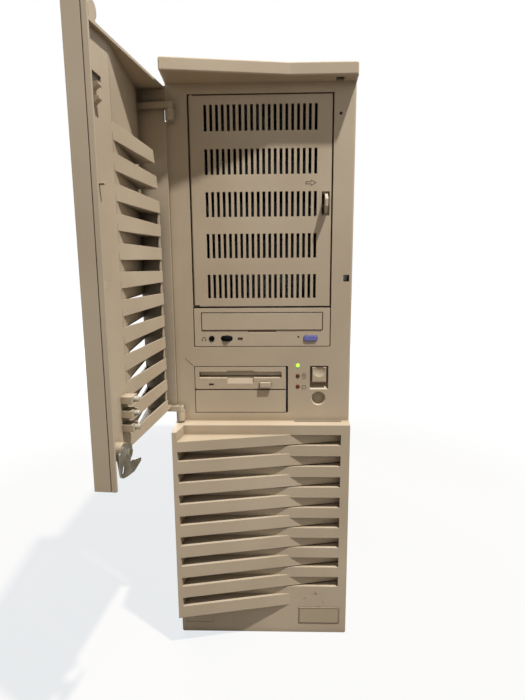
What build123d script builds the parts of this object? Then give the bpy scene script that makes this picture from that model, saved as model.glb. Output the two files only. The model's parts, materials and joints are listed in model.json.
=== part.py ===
from build123d import *
import math
import os

# Tower as a whole, in millimetres; origin on the floor under the middle, front towards -Y
tower_width = 195.0
tower_height = 623.0
tower_depth = 490.0
plinth_height = 16.0
plinth_floor = 3.0
plastic_wall = 2.5
face_wall = 3.0
sheet = 1.2
bezel_return = 24.0
fit_gap = 0.3
running_gap = 0.05

# Vent slots in the side covers
side_vent_count = 9
side_vent_pitch = 9.0
side_vent_width = 4.0
side_vent_height = 46.0
side_vent_y = 90.0
side_vent_z = 120.0

# Front planes: the right one is parallel to the panel, the left one comes forward from the crease
crease_x = 30.5
reach_left = 42.0
reach_crease = 17.5
front_inset = 2.5
hood_height = 12.5
hood_reach_left = 36.0
hood_lip_radius = 1.6
hood_corner_radius = 2.4
base_corner_radius = 2.0
rim_wall = 4.8
rim_corner_inset = 11.1
edge_radius = 2.0

# Lower louvres: two sets of slats that pass each other at the crease
louvre_pitch = 24.65
louvre_head = 11.2
louvre_base = 40.0
right_slot_height = 12.0
left_slot_drop = 11.1
left_slot_height = 10.4
louvre_lap = 0.5
last_slat_height = 14.2
louvre_side_rim = 10.9
slat_chamfer = 0.8

# Bare plate, label recess and slit on the lower bezel
plate_width = 48.0
plate_height = 21.4
plate_depth = 0.8
plate_inset = 32.6
plate_center_z = 22.3
label_width = 31.8
label_height = 8.5
label_depth = 0.5
label_inset = 22.3
label_center_z = 16.0
slit_inset = 9.5
slit_length = 52.0
slit_reach = 5.2
slit_width = 4.4

# Door
door_head_gap = 2.5
door_top_fall = 14.0
door_foot_gap = 17.3
flange_foot_gap = 7.3
door_open_angle = 95.0
hinge_inset = 5.5
hinge_reach = 5.5
door_flange_reach = 0.5
door_wall_reach = 10.0
door_roof_reach = 11.5
finger_pitch = 23.2
finger_drop = 68.0
finger_height = 13.8
finger_end_height = 11.7
finger_end_inset = 19.5
finger_cut_drop = 118.0
finger_cut_slope = 0.28
finger_web_width = 3.5
finger_web_step = 0.8
finger_lap = 0.6
finger_cover = 5.5
lip_width = 4.3
lip_step = 0.7
hinge_pin_radius = 2.0
hinge_arm_radius = 4.0
hinge_arm_thickness = 6.0
knuckle_height = 11.0
knuckle_radius = 4.5
upper_knuckle_drop = 22.5
lower_knuckle_rise = 12.7
stop_tab_inset = 35.5
stop_tab_radius = 6.3
stop_tab_gap = 0.7
hood_slot_inset = 17.8
hood_slot_width = 8.0
hood_slot_depth = 10.0
hood_slot_reach = 1.4
keeper_inset = 6.5
keeper_rise = 30.8
keeper_width = 3.6
keeper_height = 5.6
keeper_hole_width = 6.3
keeper_hole_height = 7.1

# Two hooks under a cut-out on the door's inner face, and a peg
hook_x = 57.0
hook_width = 5.0
hook_height = 6.0
hook_pitch = 9.5
hook_reach = 4.5
hook_drop = 50.5
hook_hole_width = 15.0
hook_hole_height = 8.0
peg_x = 61.0
peg_drop = 120.0
peg_radius = 1.1

# Lamps, their light pipes and the lamp board
lamp_x = 39.6
lamp_rise = 0.6
lamp_pitch = 12.0
lamp_count = 3
lamp_radius = 2.0
pipe_radius = 2.3
pipe_reach = 1.4
pipe_arm_width = 12.5
pipe_arm_height = 6.0
pipe_arm_reach = 5.5

# Door lock
lock_x = 62.8
lock_rise = 25.8
lock_barrel_radius = 6.2
lock_flange_radius = 8.5
lock_flange_thickness = 1.6
lock_plug_radius = 4.2
lock_stud_radius = 2.4
lock_key_width = 1.2
lock_key_height = 5.6
lock_key_depth = 6.0
lock_cam_reach = 4.6
lock_cam_thickness = 1.6
lock_nut_radius = 4.4
lock_nut_thickness = 1.6
lock_recess_radius = 7.0
lock_recess_depth = 5.0
lock_recess_bevel = 1.0

# Rounds that the lock's hook runs through: right of and above the lock's axis, and radius
hook_hub = (0.0, 0.0, 7.4)
hook_cheek = (13.0, -0.5, 6.6)
hook_lobe = (11.0, -10.5, 6.3)
hook_root = (4.0, -12.7, 5.8)
hook_bend = (-9.0, -15.3, 4.9)
hook_tip = (-23.6, -15.8, 1.6)
hook_throat = (-5.0, -8.0, 2.2)
hook_mouth = (-20.0, -8.0, 3.0)
hook_hole_size = 5.6

# Drive bays
bay_opening_width = 150.5
bay_pitch = 43.4
bay_head = 9.6
covered_bays = 5
pin_hole_inset = 15.5
pin_hole_drop = 20.1
pin_hole_radius = 1.5
rim_thickness = 1.6

# Bay door and its latch
bay_door_left_gap = 1.4
bay_door_right_gap = 1.6
bay_door_gap = 1.2
bay_door_thickness = 3.0
bay_door_inset = 0.8
bay_pin_radius = 1.2
bay_pin_offset = 2.6
bay_pin_length = 7.0
ear_height = 1.8
ear_width = 6.2
vent_columns = 20
vent_rows = 5
vent_pitch = 6.0
vent_width = 3.0
vent_height = 25.5
vent_row_pitch = 42.9
latch_x = 67.8
latch_window_width = 8.1
latch_window_height = 24.4
latch_tab_width = 3.0
latch_tab_height = 19.2
latch_tab_reach = 10.0
latch_travel = 2.0
latch_plate_margin = 2.6
latch_plate_thickness = 1.5
latch_bridge = 2.0

# Compact-disc drive
cd_bezel_width = 148.6
cd_bezel_height = 42.0
cd_bezel_depth = 5.0
cd_body_width = 146.0
cd_body_depth = 195.0
cd_tray_width = 131.6
cd_tray_height = 18.3
cd_tray_gap = 0.8
cd_tray_rise = 28.1
cd_tray_length = 150.0
cd_tray_floor = 6.0
cd_tray_travel = 130.0
disc_radius = 60.5
disc_recess_depth = 3.0
spindle_hole_radius = 18.0
finger_notch_width = 30.3
finger_notch_height = 3.4
finger_notch_depth = 2.5
cd_controls_rise = 9.2
cd_eject_x = 53.3
cd_eject_width = 15.0
cd_eject_height = 6.2
cd_eject_proud = 1.2
cd_eject_corner = 2.6
cd_eject_travel = 1.5
volume_x = -39.0
volume_radius = 10.0
volume_height = 6.4
volume_set_back = 8.0
volume_ridges = 30
volume_pin_radius = 1.5
jack_x = -55.5
jack_radius = 3.1
jack_bore_radius = 1.8
cd_lamp_x = -23.9
cd_lamp_width = 5.4
cd_lamp_height = 1.9
pinhole_x = 40.0
pinhole_radius = 1.1

# Diskette drive and the blank below it
small_opening_x0 = -75.6
small_opening_x1 = 28.7
small_drop = 22.0
small_foot = 9.2
small_pitch = 26.8
small_bays = 2
floppy_width = 101.6
floppy_height = 25.4
floppy_bezel_depth = 5.0
floppy_body_depth = 150.0
floppy_cavity_depth = 96.0
floppy_slot_width = 92.0
floppy_slot_height = 4.6
floppy_slot_rise = 44.0
floppy_slot_bevel = 1.6
floppy_notch_width = 29.8
floppy_notch_rise = 31.1
floppy_notch_depth = 3.0
floppy_button_x = 3.3
floppy_button_rise = 32.5
floppy_button_width = 12.4
floppy_button_height = 6.2
floppy_button_proud = 3.2
floppy_button_travel = 2.5
floppy_lamp_x = -57.2
floppy_lamp_rise = 33.0
floppy_lamp_width = 5.2
floppy_lamp_height = 1.6
flap_thickness = 1.0
flap_pin_radius = 0.7

# Power button
power_x = 63.3
power_recess_width = 20.4
power_recess_height = 27.5
power_recess_rise = 26.2
power_recess_depth = 6.5
power_button_width = 15.6
power_button_height = 17.0
power_button_top_gap = 1.3
power_button_proud = 0.4
power_button_travel = 3.0
power_scoop_radius = 16.0
power_scoop_depth = 1.6

# Power supply and its fan
supply_width = 150.0
supply_height = 86.0
supply_depth = 140.0
supply_drop = 131.8
supply_vent_count = 6
supply_vent_pitch = 20.0
supply_vent_width = 5.0
supply_vent_margin = 20.0
fan_x = -28.0
fan_size = 80.0
fan_depth = 25.0
fan_bore_radius = 38.0
fan_hub_radius = 17.0
fan_blade_radius = 36.5
fan_blade_count = 7
fan_blade_tilt = 38.0
fan_blade_thickness = 1.4
fan_shaft_radius = 2.0
guard_wire_radius = 1.0
guard_ring_count = 4
guard_ring_step = 9.0
guard_wire_margin = 3.0
inlet_x = 48.0
inlet_width = 28.0
inlet_height = 20.0
inlet_mouth_width = 24.4
inlet_mouth_height = 16.4
inlet_depth = 17.0
inlet_mouth_depth = 15.0
inlet_proud = 3.0
inlet_pin_length = 9.0
inlet_pin_width = 4.0
inlet_pin_thickness = 2.0
inlet_pin_spacing = 7.0

# System board, cards and ports
board_tray_gap = 3.3
board_gap = 7.4
board_thickness = 1.6
board_front_y = -30.0
board_bottom_z = 40.0
board_head = 4.5
board_edge_gap = 4.0
board_tray_margin = 15.0
board_tray_foot = 12.0
board_tray_foot_length = 80.0
standoff_radius = 3.0
standoff_inset = 12.0
socket_height = 11.0
socket_thickness = 8.0
socket_length = 140.0
socket_inset = 20.0
slot_count = 6
slot_pitch = 20.32
slot_first_z = 56.0
card_count = 2
card_height = 104.0
card_length = 180.0
bracket_width = 18.4
bracket_length = 112.0
slot_opening_width = 12.0
heatsink_size = 62.0
heatsink_height = 30.0
heatsink_fins = 9
heatsink_base = 5.0
heatsink_drop = 40.0
heatsink_set_back = 30.0
chip_size = 32.0
chip_thickness = 3.0
chip_set_back = 78.0
memory_count = 4
memory_length = 133.0
memory_height = 25.0
memory_thickness = 3.6
memory_pitch = 11.0
memory_drop = 30.0
memory_gap = 10.0
port_height = 12.5
port_proud = 6.0
port_gap = 8.0
port_depth = 8.0
round_port_count = 2
round_port_gap = 2.0
serial_length = 31.0
parallel_length = 53.0
round_port_radius = 6.2

# Drives behind the bay door
hard_drive_count = 3
hard_drive_width = 101.6
hard_drive_height = 25.4
hard_drive_length = 147.0
carrier_wall = 1.6
cage_depth = 210.0

# Screws at the back
screw_head_radius = 4.0
screw_head_height = 2.4
screw_shank_radius = 1.8
screw_shank_length = 6.0
screw_slot_width = 1.0
screw_slot_depth = 0.9
screw_inset = 8.0
screw_margin = 20.0
screws_per_side = 3

# Places worked out from the sizes above
half_width = tower_width / 2
face_y = reach_left - tower_depth / 2
bezel_back_y = face_y + bezel_return
rear_y = tower_depth / 2
panel_back_y = rear_y - sheet
right_plane_y = face_y - reach_crease
left_slope = (reach_left - reach_crease) / (crease_x + half_width - front_inset)
bay_half = bay_opening_width / 2
slot_right_x = half_width - louvre_side_rim
rim_corner_x = half_width - rim_corner_inset
plate_center_x = half_width - plate_inset
label_center_x = label_inset - half_width
slit_x1 = half_width - slit_inset
slit_x0 = slit_x1 - slit_length
hinge_x = hinge_inset - half_width
finger_end_x = finger_end_inset - half_width
stop_tab_x = half_width - stop_tab_inset
hood_slot_x = half_width - hood_slot_inset
keeper_x = half_width - keeper_inset
pin_hole_x = half_width - pin_hole_inset
hood_z = tower_height - hood_height
bay_top_z = hood_z - bay_head
bay_cover_z = bay_top_z - covered_bays * bay_pitch
bay_floor_z = bay_cover_z - bay_pitch
small_top_z = bay_floor_z - small_drop
small_floor_z = small_top_z - small_bays * small_pitch
ledge_z = small_floor_z - small_foot
louvre_top_z = ledge_z - louvre_head
louvre_count = int((louvre_top_z - louvre_base) / louvre_pitch)
door_top_z = hood_z - door_head_gap
door_bottom_z = ledge_z + door_foot_gap
flange_bottom_z = ledge_z + flange_foot_gap
finger_top_z = door_top_z - finger_drop
finger_cut_z = door_top_z - finger_cut_drop
finger_count = int((finger_top_z - door_bottom_z) / finger_pitch) + 1
upper_knuckle_top_z = door_top_z - upper_knuckle_drop
lower_knuckle_top_z = ledge_z + lower_knuckle_rise
hook_top_z = door_top_z - hook_drop
peg_z = door_top_z - peg_drop
keeper_z = bay_cover_z + keeper_rise
latch_z = (bay_cover_z + bay_top_z) / 2
cd_tray_center_z = bay_floor_z + cd_tray_rise
cd_controls_z = bay_floor_z + cd_controls_rise
volume_y = face_y + volume_set_back
floppy_slot_z = small_floor_z + floppy_slot_rise
floppy_notch_bottom_z = small_floor_z + floppy_notch_rise
floppy_button_z = small_floor_z + floppy_button_rise
floppy_lamp_z = small_floor_z + floppy_lamp_rise
power_recess_bottom_z = small_floor_z + power_recess_rise
lamp_top_z = small_top_z + lamp_rise
lock_z = ledge_z + lock_rise
board_top_z = bay_floor_z + board_head
port_first_z = slot_first_z + slot_count * slot_pitch
hinge_y = face_y - hinge_reach
frame_half = half_width - sheet
board_tray_x = frame_half - board_tray_gap
frame_top_z = tower_height - sheet
frame_floor_z = plinth_height + sheet
supply_bottom_z = frame_top_z - supply_drop
bulkhead_back_y = bezel_back_y + sheet
lamp_heights = [lamp_top_z - lamp_pitch * k for k in range(lamp_count)]


def block(x0, x1, y0, y1, z0, z1):
    """Box between two corners."""
    return Pos((x0 + x1) / 2, (y0 + y1) / 2, (z0 + z1) / 2) * Box(x1 - x0, y1 - y0, z1 - z0)


def upright(points, z0, z1):
    """Prism over a plan outline of (x, y) points."""
    outline = make_face(Polyline(*[(x, y, z0) for x, y in points], close=True))
    return extrude(outline, z1 - z0, dir=(0, 0, 1))


def along_x(points, x0, x1):
    """Prism over a side outline of (y, z) points."""
    outline = make_face(Polyline(*[(x0, y, z) for y, z in points], close=True))
    return extrude(outline, x1 - x0, dir=(1, 0, 0))


def along_y(points, y0, y1):
    """Prism over a front outline of (x, z) points."""
    outline = make_face(Polyline(*[(x, y0, z) for x, z in points], close=True))
    return extrude(outline, y1 - y0, dir=(0, 1, 0))


def rod_x(radius, y, z, x0, x1):
    return Pos((x0 + x1) / 2, y, z) * Rot(0, 90, 0) * Cylinder(radius, x1 - x0)


def rod_y(radius, x, z, y0, y1):
    return Pos(x, (y0 + y1) / 2, z) * Rot(90, 0, 0) * Cylinder(radius, y1 - y0)


def rod_z(radius, x, y, z0, z1):
    return Pos(x, y, (z0 + z1) / 2) * Cylinder(radius, z1 - z0)


def side_x(y):
    """Half width of the front at a place in front of the panel: the sides draw in a little."""
    return half_width - front_inset * (face_y - y) / reach_left


def left_plane_y(x):
    """Front of the left plane at a given x."""
    return right_plane_y - (crease_x - x) * left_slope


def eased(slat):
    """A slat with its long upper front edge chamfered."""
    upper = slat.faces().sort_by(Axis.Z)[-1]
    long_edges = upper.edges().sort_by(SortBy.LENGTH)[-2:]
    return chamfer(long_edges.sort_by(Axis.Y)[0], slat_chamfer)


def left_slat(x0, x1, z0, z1):
    """Slat in the left plane, one wall thick."""
    points = [
        (x0, left_plane_y(x0)),
        (x1, left_plane_y(x1)),
        (x1, left_plane_y(x1) + plastic_wall),
        (x0, left_plane_y(x0) + plastic_wall),
    ]
    return eased(upright(points, z0, z1))


def right_slat(x0, x1, z0, z1):
    """Slat in the right plane, one wall thick."""
    return eased(block(x0, x1, right_plane_y, right_plane_y + plastic_wall, z0, z1))


def opened(piece):
    """A piece of the door, turned from its closed place to the open rest pose."""
    return piece.rotate(Axis((hinge_x, hinge_y, 0), (0, 0, 1)), -door_open_angle)


# Case
def make_base_plinth():
    tray = block(-half_width, half_width, bezel_back_y, rear_y, 0, plinth_height)
    tray = fillet(tray.edges().filter_by(Axis.Z), edge_radius)
    inner = block(
        plastic_wall - half_width,
        half_width - plastic_wall,
        bezel_back_y + plastic_wall,
        rear_y - plastic_wall,
        plinth_floor,
        plinth_height + 1,
    )
    tray = tray - inner
    ribs = []
    for k in range(1, 4):
        x = -half_width + tower_width * k / 4
        ribs.append(block(x - 1, x + 1, bezel_back_y + 1, rear_y - 1, 1, plinth_height))
    for k in range(1, 5):
        y = bezel_back_y + (rear_y - bezel_back_y) * k / 5
        ribs.append(block(1 - half_width, half_width - 1, y - 1, y + 1, 1, plinth_height))
    return tray + ribs


def make_chassis_frame():
    floor = block(-frame_half, frame_half, bezel_back_y, panel_back_y, plinth_height, frame_floor_z)
    roof = block(-frame_half, frame_half, bezel_back_y, panel_back_y, frame_top_z - sheet, frame_top_z)
    bulkhead = block(-frame_half, frame_half, bezel_back_y, bulkhead_back_y, plinth_height, frame_top_z)
    margin = rim_thickness
    openings = [
        block(-bay_half, bay_half, bezel_back_y - 1, bulkhead_back_y + 1, bay_floor_z, bay_top_z),
        block(
            small_opening_x0,
            small_opening_x1,
            bezel_back_y - 1,
            bulkhead_back_y + 1,
            small_floor_z,
            small_top_z,
        ),
    ]
    vent_x = half_width * 0.7
    vent_top = ledge_z - 4 * margin
    for k in range(louvre_count):
        z = vent_top - louvre_pitch * (k + 1)
        vent_top_z = z + louvre_pitch / 2
        openings.append(block(-vent_x, vent_x, bezel_back_y - 1, bulkhead_back_y + 1, z, vent_top_z))
    return floor + [roof, bulkhead] - openings


def make_rear_panel():
    panel = block(-frame_half, frame_half, panel_back_y, rear_y, plinth_height, frame_top_z)
    cuts = [rod_y(fan_bore_radius - 1, fan_x, supply_center_z(), panel_back_y - 1, rear_y + 1)]
    inlet_half_w = inlet_width / 2 + fit_gap
    inlet_half_h = inlet_height / 2 + fit_gap
    cuts.append(
        block(
            inlet_x - inlet_half_w,
            inlet_x + inlet_half_w,
            panel_back_y - 1,
            rear_y + 1,
            supply_center_z() - inlet_half_h,
            supply_center_z() + inlet_half_h,
        )
    )
    for z in slot_heights():
        x1 = board_front_x() - 4
        cuts.append(
            block(
                x1 - bracket_length + 8,
                x1,
                panel_back_y - 1,
                rear_y + 1,
                z - slot_opening_width / 2,
                z + slot_opening_width / 2,
            )
        )
    for port in port_solids(fit_gap):
        cuts.append(port)
    for x, z in screw_places():
        cuts.append(rod_y(screw_shank_radius, x, z, panel_back_y - 1, rear_y + 1))
    return panel - cuts


def make_side_cover(side):
    """Sheet-steel side cover with a rounded upper edge and a block of vent slots."""
    x0, x1 = sorted((side * frame_half, side * half_width))
    cover = block(x0, x1, bezel_back_y, rear_y, plinth_height, tower_height)
    upper = cover.faces().sort_by(Axis.Z)[-1]
    outer_edge = upper.edges().filter_by(Axis.Y).sort_by(Axis.X)[-1 if side > 0 else 0]
    cover = fillet(outer_edge, sheet * 0.8)
    slots = []
    for k in range(side_vent_count):
        y = side_vent_y + side_vent_pitch * k
        slot = block(x0 - 1, x1 + 1, y, y + side_vent_width, side_vent_z, side_vent_z + side_vent_height)
        slots.append(fillet(slot.edges().filter_by(Axis.X), side_vent_width * 0.45))
    return cover - slots


def make_top_cover():
    return block(-frame_half, frame_half, bezel_back_y, rear_y, frame_top_z, tower_height)


# Front of the case
def make_hood():
    """Hood over the door, with a rounded lip and a hollow inside."""
    left_y = face_y - hood_reach_left
    outline = [
        (-half_width, bezel_back_y),
        (-half_width, face_y),
        (-side_x(left_y), left_y),
        (crease_x, right_plane_y),
        (side_x(right_plane_y), right_plane_y),
        (half_width, face_y),
        (half_width, bezel_back_y),
    ]
    hood = upright(outline, hood_z, tower_height)
    upper = hood.faces().sort_by(Axis.Z)[-1]
    hood = fillet([e for e in upper.edges() if abs(e.center().X) > bay_half], hood_corner_radius)
    lip_y = right_plane_y + fit_gap
    lip_edges = [e for e in hood.edges() if e.center().Y < lip_y and e.length > 2 * hood_height]
    return fillet(lip_edges, hood_lip_radius)


def hood_hollow():
    left_y = face_y - hood_reach_left
    w = plastic_wall
    outline = [
        (w - half_width, bezel_back_y + 1),
        (w - half_width, face_y),
        (1.4 * w - side_x(left_y), left_y + 1.4 * w),
        (crease_x, right_plane_y + 1.2 * w),
        (side_x(right_plane_y) - 1.4 * w, right_plane_y + 1.2 * w),
        (half_width - w, face_y),
        (half_width - w, bezel_back_y + 1),
    ]
    return upright(outline, hood_z + w, tower_height - w)


def knuckle(top_z):
    """Bearing on the panel for one hinge pin of the door."""
    z0 = top_z - knuckle_height
    body = rod_z(knuckle_radius, hinge_x, hinge_y, z0, top_z)
    web = block(hinge_x - knuckle_radius, hinge_x + knuckle_radius, hinge_y, face_y + 1, z0, top_z)
    return body + web


def opening_rim(x0, x1, z0, z1):
    """Block that a lined opening is cut from."""
    rim = rim_thickness
    return block(x0 - rim, x1 + rim, face_y, bezel_back_y, z0 - rim, z1 + rim)


def lock_recess():
    """Round recess with a bevelled rim, for the end of the lock when the door is shut."""
    hole = rod_y(lock_recess_radius, lock_x, lock_z, face_y - 1, face_y + lock_recess_depth)
    bevel = Cone(lock_recess_radius, lock_recess_radius + lock_recess_bevel, lock_recess_bevel)
    return hole + Pos(lock_x, face_y + lock_recess_bevel / 2, lock_z) * Rot(90, 0, 0) * bevel


def make_upper_bezel():
    bezel = block(-half_width, half_width, face_y, bezel_back_y, ledge_z, hood_z + 1)
    bezel = fillet(bezel.edges().filter_by(Axis.Z).sort_by(Axis.Y)[:2], edge_radius)
    bezel = bezel - block(
        plastic_wall - half_width,
        half_width - plastic_wall,
        face_y + face_wall,
        bezel_back_y + 1,
        ledge_z + plastic_wall,
        tower_height,
    )
    recess_x0 = power_x - power_recess_width / 2
    recess_x1 = power_x + power_recess_width / 2
    recess_z1 = power_recess_bottom_z + power_recess_height
    pocket_y = face_y + power_recess_depth
    ear_x = -bay_half + ear_width
    ear_y0 = face_y + bay_door_inset
    ear_y1 = face_y + bay_pin_radius * 6
    ear_bore_radius = bay_pin_radius + running_gap
    lock_floor_y = face_y + lock_recess_depth
    bezel = bezel + [
        make_hood(),
        knuckle(upper_knuckle_top_z),
        knuckle(lower_knuckle_top_z),
        opening_rim(-bay_half, bay_half, bay_floor_z, bay_top_z),
        opening_rim(small_opening_x0, small_opening_x1, small_floor_z, small_top_z),
        block(
            recess_x0 - rim_thickness,
            recess_x1 + rim_thickness,
            face_y,
            pocket_y + rim_thickness,
            power_recess_bottom_z - rim_thickness,
            recess_z1 + rim_thickness,
        ),
        rod_y(lock_recess_radius + rim_thickness, lock_x, lock_z, face_y, lock_floor_y + rim_thickness),
        block(-bay_half, ear_x, ear_y0, ear_y1, bay_top_z, bay_top_z + 2 * ear_height),
    ]
    cuts = [
        hood_hollow(),
        block(-bay_half, bay_half, face_y - 1, bezel_back_y + 1, bay_floor_z, bay_top_z),
        block(small_opening_x0, small_opening_x1, face_y - 1, bezel_back_y + 1, small_floor_z, small_top_z),
        along_x(
            [
                (face_y - 1, power_recess_bottom_z),
                (pocket_y, power_recess_bottom_z + power_recess_depth),
                (pocket_y, recess_z1),
                (face_y - 1, recess_z1),
            ],
            recess_x0,
            recess_x1,
        ),
        power_button_block(fit_gap, pocket_y - 1, pocket_y + rim_thickness + 1),
        lock_recess(),
        rod_y(pin_hole_radius, pin_hole_x, bay_top_z - pin_hole_drop, face_y - 1, face_y + face_wall + 1),
        block(
            keeper_x - keeper_hole_width / 2,
            keeper_x + keeper_hole_width / 2,
            face_y - 1,
            face_y + face_wall + 1,
            keeper_z - keeper_hole_height / 2,
            keeper_z + keeper_hole_height / 2,
        ),
        block(
            hood_slot_x - hood_slot_width / 2,
            hood_slot_x + hood_slot_width / 2,
            face_y - hood_slot_reach - hood_slot_depth,
            face_y - hood_slot_reach,
            hood_z - 1,
            hood_z + plastic_wall + 1,
        ),
        rod_z(ear_bore_radius, bay_pin_x(), bay_pin_y(), bay_top_z - 1, bay_top_z + ear_height + 1),
    ]
    for z in lamp_heights:
        cuts.append(rod_y(lamp_radius + fit_gap, lamp_x, z, face_y - 1, face_y + face_wall + 1))
    for top_z in (upper_knuckle_top_z, lower_knuckle_top_z):
        z0 = top_z - knuckle_height
        cuts.append(rod_z(hinge_pin_radius + running_gap, hinge_x, hinge_y, z0 - 1, top_z + 1))
    bezel = bezel - cuts
    ear_z = bay_cover_z + bay_door_gap / 2
    ear = block(-bay_half - rim_thickness / 2, ear_x, ear_y0, ear_y1, ear_z, ear_z + ear_height)
    ear = ear - rod_z(ear_bore_radius, bay_pin_x(), bay_pin_y(), ear_z - 1, ear_z + ear_height + 1)
    return bezel + ear


def left_bar_heights():
    """Bottom and top of every slat in the left plane of the lower bezel."""
    tops = [louvre_top_z - louvre_pitch * k - left_slot_drop for k in range(louvre_count)]
    bars = [(tops[0], louvre_top_z + louvre_lap)]
    for k in range(1, louvre_count):
        bars.append((tops[k], tops[k - 1] - left_slot_height))
    lowest = tops[-1] - left_slot_height
    bars.append((lowest - last_slat_height, lowest))
    return bars


def right_bar_heights():
    """Bottom and top of every slat in the right plane of the lower bezel, base and head included."""
    tops = [louvre_top_z - louvre_pitch * k for k in range(louvre_count)]
    bars = [(tops[0], ledge_z)]
    for k in range(1, louvre_count):
        bars.append((tops[k], tops[k - 1] - right_slot_height))
    bars.append((0, tops[-1] - right_slot_height))
    return bars


def make_lower_bezel():
    left_bars = left_bar_heights()
    cheek_bottom_z = left_bars[-1][0]
    corner_x = side_x(right_plane_y)
    front_x = half_width - front_inset
    left_y = left_plane_y(-front_x)
    rim_y = left_plane_y(rim_wall - front_x)
    plan = [
        (-corner_x, right_plane_y),
        (corner_x, right_plane_y),
        (half_width, face_y),
        (half_width, bezel_back_y),
        (-half_width, bezel_back_y),
        (-half_width, face_y),
    ]
    left_cheek = [
        (-half_width, face_y),
        (-front_x, left_y),
        (rim_wall - front_x, rim_y),
        (-rim_corner_x, right_plane_y),
        (-rim_corner_x, face_y),
    ]
    shelf_x = rim_wall / 2 - front_x
    left_shelf = [
        (shelf_x, left_plane_y(shelf_x)),
        (crease_x, right_plane_y),
        (crease_x, right_plane_y + plastic_wall),
        (-rim_corner_x - 1, right_plane_y + plastic_wall),
    ]
    right_shelf = [
        (crease_x, right_plane_y),
        (slot_right_x + 1, right_plane_y),
        (slot_right_x + 1, left_plane_y(slot_right_x + 1)),
    ]
    pieces = [
        upright(plan, 0, plastic_wall),
        upright(plan, ledge_z - plastic_wall, ledge_z),
        upright(left_cheek, cheek_bottom_z, ledge_z),
        block(-half_width, plastic_wall - half_width, face_y, bezel_back_y, 0, ledge_z),
        block(half_width - plastic_wall, half_width, face_y, bezel_back_y, 0, ledge_z),
        right_slat(slot_right_x, corner_x, 0, ledge_z),
    ]
    for side in (-1, 1):
        cheek = [
            (side * half_width, face_y),
            (side * corner_x, right_plane_y),
            (side * (corner_x - rim_wall), right_plane_y),
            (side * (half_width - rim_wall), face_y),
        ]
        pieces.append(upright(cheek, 0, ledge_z))
    for z0, z1 in right_bar_heights():
        pieces.append(right_slat(1 - corner_x, slot_right_x + 1, z0, z1))
        pieces.append(upright(right_shelf, z1 - plastic_wall, z1))
    for z0, z1 in left_bars:
        pieces.append(left_slat(1 - front_x, half_width - rim_wall, z0, z1))
        pieces.append(upright(left_shelf, z1 - plastic_wall, z1))
    bezel = pieces[0] + pieces[1:]
    foot_edges = [e for e in bezel.edges() if e.center().Z < 0.1 and abs(e.center().X) > corner_x - 1]
    bezel = fillet([e for e in foot_edges if e.length > reach_crease / 2], base_corner_radius)
    cuts = [
        block(
            plate_center_x - plate_width / 2,
            plate_center_x + plate_width / 2,
            right_plane_y - 1,
            right_plane_y + plate_depth,
            plate_center_z - plate_height / 2,
            plate_center_z + plate_height / 2,
        ),
        block(
            label_center_x - label_width / 2,
            label_center_x + label_width / 2,
            right_plane_y - 1,
            right_plane_y + label_depth,
            label_center_z - label_height / 2,
            label_center_z + label_height / 2,
        ),
        block(
            slit_x0,
            slit_x1,
            face_y - slit_reach,
            face_y - slit_reach + slit_width,
            ledge_z - plastic_wall - 1,
            ledge_z + 1,
        ),
    ]
    return bezel - cuts


def make_front_plate():
    margin = fit_gap
    plate = block(
        plate_center_x - plate_width / 2 + margin,
        plate_center_x + plate_width / 2 - margin,
        right_plane_y - plate_depth / 2,
        right_plane_y + plate_depth,
        plate_center_z - plate_height / 2 + margin,
        plate_center_z + plate_height / 2 - margin,
    )
    return chamfer(plate.faces().sort_by(Axis.Y)[0].edges(), plate_depth / 4)


# Door, made in its closed place
def hinge_arm(z0):
    """Arm of the door that carries one hinge pin."""
    z1 = z0 + hinge_arm_thickness
    wall_x = side_x(left_plane_y(-half_width + front_inset))
    body = block(
        hinge_x - hinge_arm_radius,
        hinge_x + hinge_arm_radius,
        left_plane_y(-wall_x) + plastic_wall,
        hinge_y,
        z0,
        z1,
    )
    arm = body + rod_z(hinge_arm_radius, hinge_x, hinge_y, z0, z1)
    return arm - rod_z(hinge_pin_radius, hinge_x, hinge_y, z0 - 1, z1 + 1)


def door_corner_x():
    return side_x(right_plane_y) - 1.0


def door_top_at(x):
    """Height of the door's sloping top edge, which is highest at the hinge."""
    return door_top_z - door_top_fall * (x + half_width) / tower_width


def over_door_top(depth):
    """The space over the door's sloping top edge, and down to a given depth below it."""
    ends = (-tower_width, tower_width)
    points = [(x, door_top_at(x) - depth) for x in ends]
    points += [(x, tower_height) for x in reversed(ends)]
    return along_y(points, -tower_depth, 0)


def finger_end_at(z):
    """Free end of the fingers: the upper ones are cut back along a slope."""
    return finger_end_x + finger_cut_slope * max(0.0, z - finger_cut_z)


def finger(top, bottom):
    """Slat in the right plane that gets thinner towards its free end."""
    end_bottom = max(bottom, top - finger_end_height)
    points = [
        (finger_end_at(end_bottom), end_bottom),
        (crease_x + 1, bottom),
        (crease_x + 1, top),
        (finger_end_at(top), top),
    ]
    return eased(along_y(points, right_plane_y, right_plane_y + plastic_wall))


def hinge_wall(wall_x, notch_y, back_y):
    """Wall of the door next to its hinge, cut back where it passes the knuckles."""
    y0 = left_plane_y(-wall_x) + 0.1
    wall = block(-wall_x, plastic_wall - wall_x, y0, back_y, door_bottom_z, door_top_z)
    notches = []
    for top_z in (upper_knuckle_top_z, lower_knuckle_top_z):
        low_z = top_z - knuckle_height - 1
        notches.append(block(-half_width, 1 - wall_x + plastic_wall, notch_y, face_y, low_z, top_z + fit_gap))
    return wall - notches


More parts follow.
